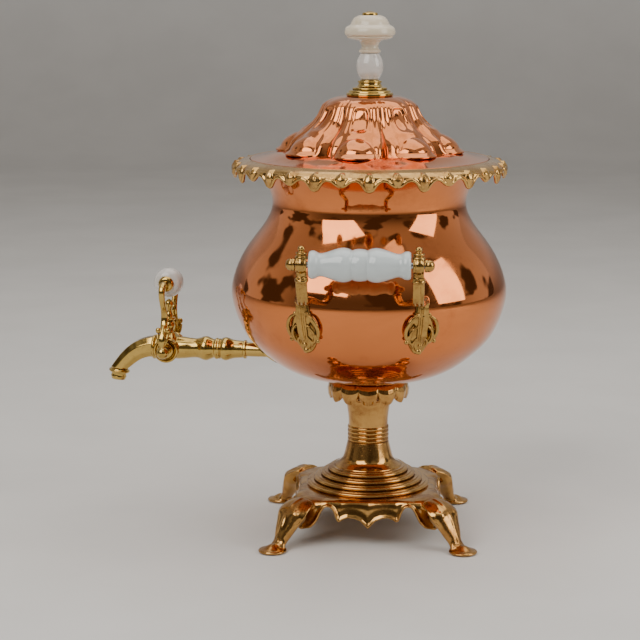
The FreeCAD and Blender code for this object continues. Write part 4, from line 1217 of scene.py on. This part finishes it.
@dataclass
class Handle:
    """One handle: ceramic grip between two acanthus brackets. Built at the front, then turned."""
    bowl: Bowl
    face: str
    turn: float
    reach: float = 149.0
    height: float = 259.0
    half: float = 47.0
    spread: float = 24.0
    seat: float = 4.8
    leaf_low: float = 179.0
    leaf_high: float = 226.0
    leaf_half: float = 14.5
    curls: tuple = ((((4.4, 33.0, 3.6), (8.6, 31.4, 4.4), (12.2, 26.4, 4.4), (13.5, 19.4, 3.9),
                      (11.4, 13.0, 3.4), (8.6, 9.6, 3.0)), 1.75),
                    (((4.2, 25.0, 4.2), (7.4, 22.6, 4.6), (9.6, 17.6, 4.3), (9.2, 12.4, 3.7),
                      (6.6, 8.2, 3.2)), 1.35),
                    (((3.4, 15.0, 4.2), (5.6, 11.6, 4.2), (5.4, 7.0, 3.4), (3.4, 4.2, 3.0)), 1.1))

    def build(self) -> None:
        """Makes brackets, grip and nuts, and turns them to their face of the bowl."""
        place = about_urn(self.turn)
        form = Form()
        for side in (-1, 1):
            form.join(self.bracket(side))
        form.moved(place).piece(f"brackets_{self.face}_looks", HANDLE_BRASS,
                                stands_for=(f"brackets_{self.face}", f"rivets_{self.face}"), melt=0.42,
                                ease=1)
        self.grip().moved(place).piece(f"grip_{self.face}_looks", PALE, stands_for=(f"grip_{self.face}",),
                                       sharp=60)
        nuts = Form()
        for side in (-1, 1):
            start = Vector((side * (self.half + self.seat), -self.reach, self.height))
            line = outline((2.7, 0.0), (4.7, 0.0), (5.25, 0.5), (5.25, 2.2), (4.9, 2.5), (5.0, 2.8),
                           [(5.15, 3.4), (4.9, 4.6), (4.2, 6.0), (2.4, 7.6), (0.01, 8.0)], corner=0.2)
            nuts.lathe(line, facing(Vector((side, 0, 0)), start), 40)
        nuts.moved(place).piece(f"end_nuts_{self.face}_looks", HANDLE_BRASS,
                                stands_for=(f"end_nuts_{self.face}",))

    def grip(self) -> Form:
        """Ceramic grip: middle bead, two pear-shaped halves and flared ends."""
        half = [(0.0, 13.2), (3.2, 12.9), (5.2, 12.3), (6.2, 12.0), (7.2, 12.5), (9.4, 13.4), (13.0, 14.0),
                (17.0, 13.5), (22.0, 12.0), (27.0, 10.3), (31.0, 9.45), (33.4, 9.8), (35.4, 11.0),
                (37.4, 11.5), (39.6, 11.3), (40.7, 10.5)]
        one = smooth_line(half, 6)
        left, right = [(r, -x) for x, r in reversed(one)], [(r, x) for x, r in one[1:]]
        line = [(2.8, -41.0), (10.0, -41.0), *left, *right, (10.0, 41.0), (2.8, 41.0)]
        start = Vector((0, -self.reach, self.height))
        return Form().lathe(outline(*line, corner=0.5), facing(RIGHT, start), 96)

    def on_bowl(self, across: float, height: float, lift: float, side: int) -> Vector:
        """Point above the bowl's wall.

        Args:
            across: distance along the wall from the leaf's middle line, toward +X.
            height: level.
            lift: distance from the wall, square to it.
            side: which bracket, -1 or 1.

        Returns:
            The point in millimetres.
        """
        r = self.bowl.radius_at(height)
        slope = (self.bowl.radius_at(height + 0.6) - self.bowl.radius_at(height - 0.6)) / 1.2
        a = math.radians(side * self.spread - 90) + across / r
        out = Vector((math.cos(a), math.sin(a), -slope)).normalized()
        return polar(r, a, height) + out * lift

    def leaf(self, side: int) -> Form:
        """Acanthus plate on the bowl's wall: ribbed stem, rolled side lobes, beads and a rounded tip.

        Args:
            side: which bracket, -1 or 1.

        Returns:
            The plate.
        """
        low, high, wide = self.leaf_low, self.leaf_high, self.leaf_half
        edge = smooth_line([(low, 2.4), (low + 1.6, 5.0), (low + 6, 8.0), (low + 11, 11.6), (low + 16, 13.8),
                            (low + 20.5, 13.2), (low + 24, 10.8), (low + 28, 9.6), (low + 32, 7.6),
                            (low + 37, 5.8), (high, 5.2)], 6)
        heights, spans = [h for h, _ in edge], [min(w, wide) for _, w in edge]
        rows, count = [], 36
        for z in np.linspace(low, high, 60):
            span = float(np.interp(z, heights, spans))
            t = (z - low) / (high - low)
            top, under = [], []
            for i in range(count + 1):
                u = i / count * 2 - 1
                lift = 1.3 + 1.9 * (1 - u * u) ** 0.7
                lift -= 1.5 * math.exp(-((abs(u) - 0.60) / 0.20) ** 2) * math.exp(-((t - 0.46) / 0.20) ** 2)
                lift += 0.5 * math.cos(u * 9.0) * (1 - ramp(t, 0.10, 0.34))
                top.append(self.on_bowl(u * span, float(z), max(lift, 1.0), side))
                under.append(self.on_bowl(u * span, float(z), 0.12, side))
            rows.append(top + list(reversed(under)))
        form = Form().rows(rows, caps=True)
        stem = smooth_line([(high, 4.6, 5.4), (low + 38, 4.6, 5.0), (low + 30, 4.8, 4.6),
                            (low + 20, 4.8, 4.4), (low + 11, 3.6, 4.0), (low + 4, 2.2, 3.2)], 5)
        form.sweep([self.on_bowl(0.0, z, lift - 2.0, side) for z, _, lift in stem],
                   [(w, 2.2) for _, w, _ in stem], 18, side=RIGHT)
        for rib in (-1, 0, 1):
            rise = 0.2 if rib else -0.3
            line = [self.on_bowl(rib * w * 0.72, z, lift - rise, side) for z, w, lift in stem[:-5]]
            form.tube(line, 0.95, 8)
        for lobe in (-1, 1):
            for way, radius in self.curls:
                line = smooth_line([(lobe * a, low + z, lift) for a, z, lift in way], 6)
                steps = len(line)
                form.sweep([self.on_bowl(a, z, lift - 0.6, side) for a, z, lift in line],
                           [(radius * (0.45 + 0.55 * math.sin(math.pi * (i + 1) / (steps + 1))),) * 2
                            for i in range(steps)], 12, side=Vector((1, 0, 0.3)))
            form.knob(self.on_bowl(lobe * 12.0, low + 11.6, 3.4, side), (1.9, 1.9, 1.9), steps=14)
            form.knob(self.on_bowl(lobe * 5.2, low + 34.0, 4.2, side), (1.7, 1.7, 1.7), steps=14)
        form.knob(self.on_bowl(0.0, low + 2.8, 3.4, side), (3.0, 2.4, 2.6), steps=16)
        form.knob(self.on_bowl(0.0, low + 8.4, 4.4, side), (1.8, 1.7, 1.8), steps=14)
        return form

    def bracket(self, side: int) -> Form:
        """Leaf, fluted arm, boss and the stack of rings on top.

        Args:
            side: which bracket, -1 or 1.

        Returns:
            The bracket.
        """
        form = self.leaf(side)
        x = side * self.half
        foot = self.on_bowl(0.0, self.leaf_high - 10, 2.0, side)
        bend = self.on_bowl(0.0, self.leaf_high - 2, 6.0, side)
        path = smooth_line([foot, bend, Vector((x, -self.reach + 13.5, self.height - 32)),
                            Vector((x, -self.reach + 3.4, self.height - 20)),
                            Vector((x, -self.reach, self.height - 8)),
                            Vector((x, -self.reach, self.height))], 7)
        form.sweep(path, [(4.3, 2.5)] * len(path), 24, side=RIGHT, square=0.8)
        for shift in (-3.2, 0.0, 3.2):
            rib = []
            for i in range(3, len(path) - 5):
                run = (Vector(path[i + 1]) - Vector(path[i - 1])).normalized()
                out = RIGHT.cross(run).normalized()
                rib.append(Vector(path[i]) + Vector((shift, 0, 0)) + out * 2.1)
            form.tube(rib, 1.6 if shift else 1.9, 10)
        collar = Vector((x, -self.reach + 0.4, self.height - 12.5))
        form.lathe(outline((0.01, -1.6), (4.8, -1.6), [(5.7, 0.0), (4.8, 1.6)], (0.01, 1.6)),
                   facing(Vector((0, -0.22, 1)), collar), 28)
        boss = outline((2.75, -4.5), (6.0, -4.5), [(6.6, -3.6), (6.2, -2.9)], [(7.3, 0.0), (6.2, 2.9)],
                       [(6.6, 3.6), (6.0, 4.5)], (2.75, 4.5), corner=0.2)
        form.lathe(boss, facing(RIGHT, Vector((x, -self.reach, self.height))), 40)
        stack = outline((0.01, 4.6), (4.8, 4.6), [(5.3, 6.0), (4.7, 7.2)], (3.3, 7.6), (3.3, 8.2),
                        [(4.7, 9.2), (3.5, 10.4)], (2.3, 10.8), (2.3, 11.3),
                        [(3.0, 12.8), (2.4, 14.6), (0.01, 15.6)], corner=0.15)
        form.lathe(stack, Matrix.Translation((x, -self.reach, self.height)), 32)
        return form


@dataclass
class Tap:
    """Lever tap: baluster barrel, housing, faceted spout, and the yoke with its ceramic grip."""
    turn: float = -7.4
    height: float = 157.5
    pivot: float = 179.8
    ferrule: float = 109.4
    joint: float = 133.6
    spout_root: float = 192.0
    housing_half: float = 17.2
    grip_rise: float = 59.0
    hub_reach: float = 28.0

    def along(self) -> Matrix:
        """Frame whose +Z runs outward along the tap's line."""
        return about_urn(self.turn) @ facing(Vector((-1, 0, 0)), Vector((0, 0, self.height)))

    def across(self, rise: float = 0.0) -> Matrix:
        """Frame whose +Z runs to the front across the tap, at the plug."""
        return about_urn(self.turn) @ facing(Vector((0, -1, 0)), Vector((-self.pivot, 0, self.height + rise)))

    def upright(self) -> Matrix:
        """Frame at the plug with +Z up."""
        return about_urn(self.turn) @ Matrix.Translation((-self.pivot, 0, self.height))

    def build(self) -> None:
        """Makes the fixed parts and the lever."""
        self.barrel()
        self.housing()
        self.spout()
        self.finial()
        self.lever()

    def barrel(self) -> None:
        """Flange ring, ferrule and baluster barrel."""
        s = self.ferrule
        line = outline((4.0, s), (7.9, s), (8.3, s + 0.5), (8.3, s + 2.1), (7.5, s + 2.8), (7.5, s + 3.2),
                       [(7.9, s + 8.0), (8.4, s + 12.0), (9.6, s + 15.6)],
                       [(10.4, s + 18.8), (9.4, s + 22.2)], (8.6, s + 22.8), (8.6, s + 23.3), (9.2, s + 23.7),
                       (9.2, self.joint - 0.1), (4.0, self.joint - 0.1), corner=0.2)
        Form().lathe(line, self.along(), 80).piece("tap_barrel_looks", TAP_BRASS, stands_for=("tap_barrel",),
                                                   sharp=50)

    def housing(self) -> None:
        """Barrel's outer length, the cross cylinder with its ringed ends and the tapered shoulders."""
        s, root = self.joint, self.spout_root
        line = outline((4.0, s), (9.2, s), (9.2, s + 0.8), (8.8, s + 1.2), [(9.6, s + 2.8), (8.8, s + 4.4)],
                       (8.4, s + 4.9), (8.4, s + 5.6), [(9.6, s + 8.6), (10.9, s + 12.4), (10.2, s + 16.0)],
                       [(9.0, s + 19.4), (8.7, s + 24.0), (9.4, s + 30.0), (10.2, s + 38.0)],
                       (10.0, s + 46.2), (8.9, root), (4.0, root), corner=0.2)
        form = Form().lathe(line, self.along(), 72)
        h = self.housing_half
        ring = [(7.2, h - 1.8), (8.9, h - 1.8), (8.9, h - 0.4), [(9.6, h), (10.4, h - 0.1)],
                [(11.2, h - 1.1), (10.6, h - 2.3)], (10.3, h - 2.8)]
        mirror = [(10.3, 2.8 - h), [(11.2, 1.1 - h), (10.4, 0.1 - h)], [(9.6, -h), (8.9, 0.4 - h)],
                  (8.9, 1.8 - h), (7.2, 1.8 - h)]
        form.lathe(outline(*ring, *mirror, (7.2, h - 1.8), corner=0.15), self.across(), 72)
        rows = []
        for z, wide, deep in ((0.0, 9.6, 11.6), (7.6, 8.6, 10.4), (10.2, 7.4, 8.6), (12.2, 6.2, 6.6),
                              (13.4, 5.6, 5.6), (14.0, 5.2, 5.2)):
            rows.append([self.upright() @ Vector((wide * math.copysign(abs(math.cos(a)) ** 0.7, math.cos(a)),
                                                  deep * math.copysign(abs(math.sin(a)) ** 0.7, math.sin(a)),
                                                  z))
                         for a in np.linspace(0, 2 * math.pi, 48, endpoint=False)])
        form.rows(rows, caps=True)
        form.piece("tap_housing_looks", TAP_BRASS, stands_for=("tap_housing",), melt=0.42, ease=2)

    def spout(self) -> None:
        """Faceted spout that curves down, with sharp bevel lines, and the stepped nozzle."""
        root = self.spout_root
        rows = ((root, 0.3, 90, 9.4), (root + 5, 0.2, 94, 9.2), (root + 11, -1.2, 104, 8.7),
                (root + 16.5, -3.6, 114, 8.4), (root + 21.5, -7.0, 125, 8.1), (root + 26, -11.0, 137, 7.8),
                (root + 29.8, -15.0, 150, 7.5), (226.3, -19.9, 170, 7.2))
        path = smooth_line([(reach, rise) for reach, rise, _, _ in rows], 4)
        sizes = smooth_line([(angle, radius) for _, _, angle, radius in rows], 4)
        skin = []
        for (reach, rise), (angle, radius) in zip(path, sizes):
            turn = math.radians(angle)
            over = Vector((-math.cos(turn), 0, -math.sin(turn)))
            centre = Vector((-reach, 0, self.height + rise))
            row = []
            for wide, tall in ((0.55, 1.0), (1.0, 0.42), (1.0, -0.42), (0.5, -1.0), (-0.5, -1.0),
                               (-1.0, -0.42), (-1.0, 0.42), (-0.55, 1.0)):
                row.append(about_urn(self.turn) @ (centre + Vector((0, 1, 0)) * wide * radius * 0.96
                                                   - over * tall * radius))
            skin.append(row)
        form = Form().rows(skin, caps=True)
        ring = outline((4.2, 0.0), (9.8, 0.0), [(10.9, 1.5), (9.8, 3.0)], (4.2, 3.0), corner=0.2)
        form.lathe(ring, about_urn(self.turn) @ facing(Vector((-1, 0, 0)),
                                                       Vector((-root + 0.2, 0, self.height))), 56)
        made = form.piece("tap_spout_looks", TAP_BRASS, stands_for=("tap_spout",), sharp=24)
        edge = made.modifiers.new("bevel", "BEVEL")
        edge.width = 0.55 * MM
        edge.segments = 3
        edge.limit_method = "ANGLE"
        edge.angle_limit = math.radians(26)
        end = Vector((-226.3, 0, self.height - 20.6))
        down = Vector((-math.sin(math.radians(172)), 0, math.cos(math.radians(172))))
        nozzle = outline((4.0, 0.0), (7.6, 0.0), [(8.2, 0.8), (9.2, 1.3)], [(9.3, 2.2), (8.8, 3.0)],
                         (7.4, 3.4), [(6.9, 4.2), (6.7, 5.2)], (6.9, 6.6), [(7.0, 7.4), (6.5, 8.0)],
                         (6.3, 9.6), (4.4, 9.6), (4.0, 3.0), corner=0.2)
        Form().lathe(nozzle, about_urn(self.turn) @ facing(down, end), 64).piece(
            "spout_nozzle_looks", TAP_BRASS, stands_for=("spout_nozzle",), sharp=50)

    def finial(self) -> None:
        """Post on the housing: bulb, flange ring, neck and ball."""
        line = outline((0.01, 11.4), (5.1, 11.4), (5.1, 13.4), (3.6, 14.2), (3.4, 15.0),
                       [(4.3, 17.0), (5.2, 19.4), (4.6, 22.4), (3.0, 24.6)], (2.9, 25.4),
                       [(5.6, 26.2), (5.2, 27.4)], (3.4, 28.0), [(3.2, 29.6), (2.2, 32.4)], (2.0, 33.6),
                       [(2.4, 34.6), (3.9, 38.6), (2.6, 42.6), (0.01, 43.9)], corner=0.15)
        Form().lathe(line, self.upright(), 40).piece("tap_finial_looks", TAP_BRASS,
                                                     stands_for=("tap_finial",), sharp=50)

    def lever(self) -> None:
        """Plug shoulders, the two arms of the yoke and the grip."""
        half = self.housing_half
        plug = outline((0.01, -half - 0.6), (6.6, -half - 0.6), (7.0, -half - 0.1), (7.0, -half + 3),
                       (7.0, half - 3), (7.0, half + 0.1), (6.6, half + 0.6), (4.0, half + 0.8), (4.0, 23.2),
                       (0.01, 23.2), corner=0.15)
        back = outline((0.01, -23.2), (4.0, -23.2), (4.0, -half - 0.8), (3.0, -half - 0.4), corner=0.15)
        Form().lathe(plug, self.across(), 56).lathe(back, self.across(), 56).piece(
            "tap_plug_looks", TAP_BRASS, Body.LEVER, ("tap_plug",), sharp=45)
        arms = Form()
        for side in (-1, 1):
            arms.join(self.arm(side).moved(self.upright()))
        arms.piece("tap_yoke_looks", TAP_BRASS, Body.LEVER, ("tap_yoke",), melt=0.4, ease=2)
        grip = outline((2.6, -9.8), (6.6, -9.8),
                       [(9.6, -8.6), (12.2, -5.4), (13.1, 0.0), (12.2, 5.4), (9.6, 8.6), (6.6, 9.8)],
                       (2.6, 9.8), corner=0.4)
        Form().lathe(grip, self.across(self.grip_rise), 80).piece(
            "tap_grip_looks", WHITE, Body.LEVER, ("tap_grip",), sharp=60)
        caps = Form()
        for side in (-1, 1):
            line = outline((2.6, 0.05), (5.6, 0.05), [(6.9, 0.7), (6.7, 1.7)], [(6.0, 3.0), (4.0, 3.9)],
                           (3.2, 4.1), (2.6, 4.1), corner=0.15)
            caps.lathe([(r, side * (z + 9.85)) for r, z in line], self.across(self.grip_rise), 48)
        caps.piece("grip_caps_looks", TAP_BRASS, Body.LEVER, ("grip_caps",))

    def arm(self, side: int) -> Form:
        """One arm: hub ball, leaf scrolls, and the bar up to the grip.

        Args:
            side: which arm, -1 or 1.

        Returns:
            The arm.
        """
        form = Form()
        reach = self.hub_reach
        form.knob(Vector((0, side * reach, 0)), (5.6, 5.6, 5.6), steps=28)
        form.knob(Vector((0, side * (reach - 4.4), 0)), (4.6, 1.8, 4.6), steps=24)
        path = smooth_line([(0, side * (reach - 0.5), 3.0), (0, side * (reach + 0.4), 10.0),
                            (0, side * 24.6, 18.0), (0, side * 19.4, 26.0), (0, side * 18.8, 33.0),
                            (0, side * 23.0, 41.0), (0, side * 27.0, 48.5), (0, side * 27.6, 55.0),
                            (0, side * 24.0, self.grip_rise), (0, side * 14.6, self.grip_rise)], 7)
        widths = smooth_line([(2.3, 2.0), (2.5, 2.2), (3.2, 2.0), (3.0, 1.8), (2.7, 1.8), (2.7, 2.0),
                              (2.8, 2.3), (2.8, 2.6), (2.7, 2.7), (2.5, 2.5)], 7)
        form.sweep(path, widths, 20, side=RIGHT, square=0.8)
        for across in (-1, 1):
            form.knob(Vector((across * 4.2, side * (reach - 3.0), 19.6)), (2.5, 2.3, 2.7), steps=18)
            curl = smooth_line([(across * 1.2, side * (reach + 0.6), 6.0),
                                (across * 3.6, side * (reach - 0.2), 11.0),
                                (across * 4.6, side * (reach - 2.0), 16.4)], 7)
            form.tube(curl, 1.35, 8)
        leaf = smooth_line([(0, side * (reach + 2.2), 5.0), (0, side * (reach + 2.4), 11.0),
                            (0, side * (reach - 0.8), 18.0), (0, side * (reach - 5.0), 24.0)], 6)
        form.sweep(leaf, smooth_line([(1.4, 0.8), (3.3, 1.3), (2.4, 1.0), (1.0, 0.6)], 6), 14, side=RIGHT)
        return form


class Hidden:
    """CAD nodes that stay as they are and only get their finish."""
    finishes: dict[str, Finish] = {
        "centre_bolt": STEEL, "bolt_washer": STEEL, "bolt_nut": STEEL, "sleeve_seal": RUBBER,
        "heater_sleeve": TIN, "heater_iron": IRON, "heater_cover": TIN, "lid_skirt": TIN,
        "lid_washer": TAP_BRASS, "lid_nut": TAP_BRASS, "finial_rod": STEEL, "tap_flange": TAP_BRASS,
        "tap_pipe": TAP_BRASS, "tap_gasket": RUBBER, "tap_lock_nut": TAP_BRASS, "handle_rod_front": STEEL,
        "handle_rod_back": STEEL, "grip_crossbar": STEEL}

    def build(self) -> None:
        """Puts each finish in the node's slots."""
        for name, finish in self.finishes.items():
            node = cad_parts[name]
            if not node.material_slots:
                node.data.materials.append(finish.material())
            for place in node.material_slots:
                place.material = finish.material()
            log.info("%s wears %s", name, finish.name)


def main() -> None:
    """Builds the stage, then the urn from the table up."""
    logging.basicConfig(level=logging.INFO, format="%(name)s: %(message)s")
    Studio().build()
    bowl = Bowl()
    makers = [Base(), Pedestal(), bowl, Lid(), Handle(bowl, "front", -2.75), Handle(bowl, "back", 177.25),
              Tap(), Hidden()]
    for maker in makers:
        maker.build()


if __name__ == "__main__":
    main()
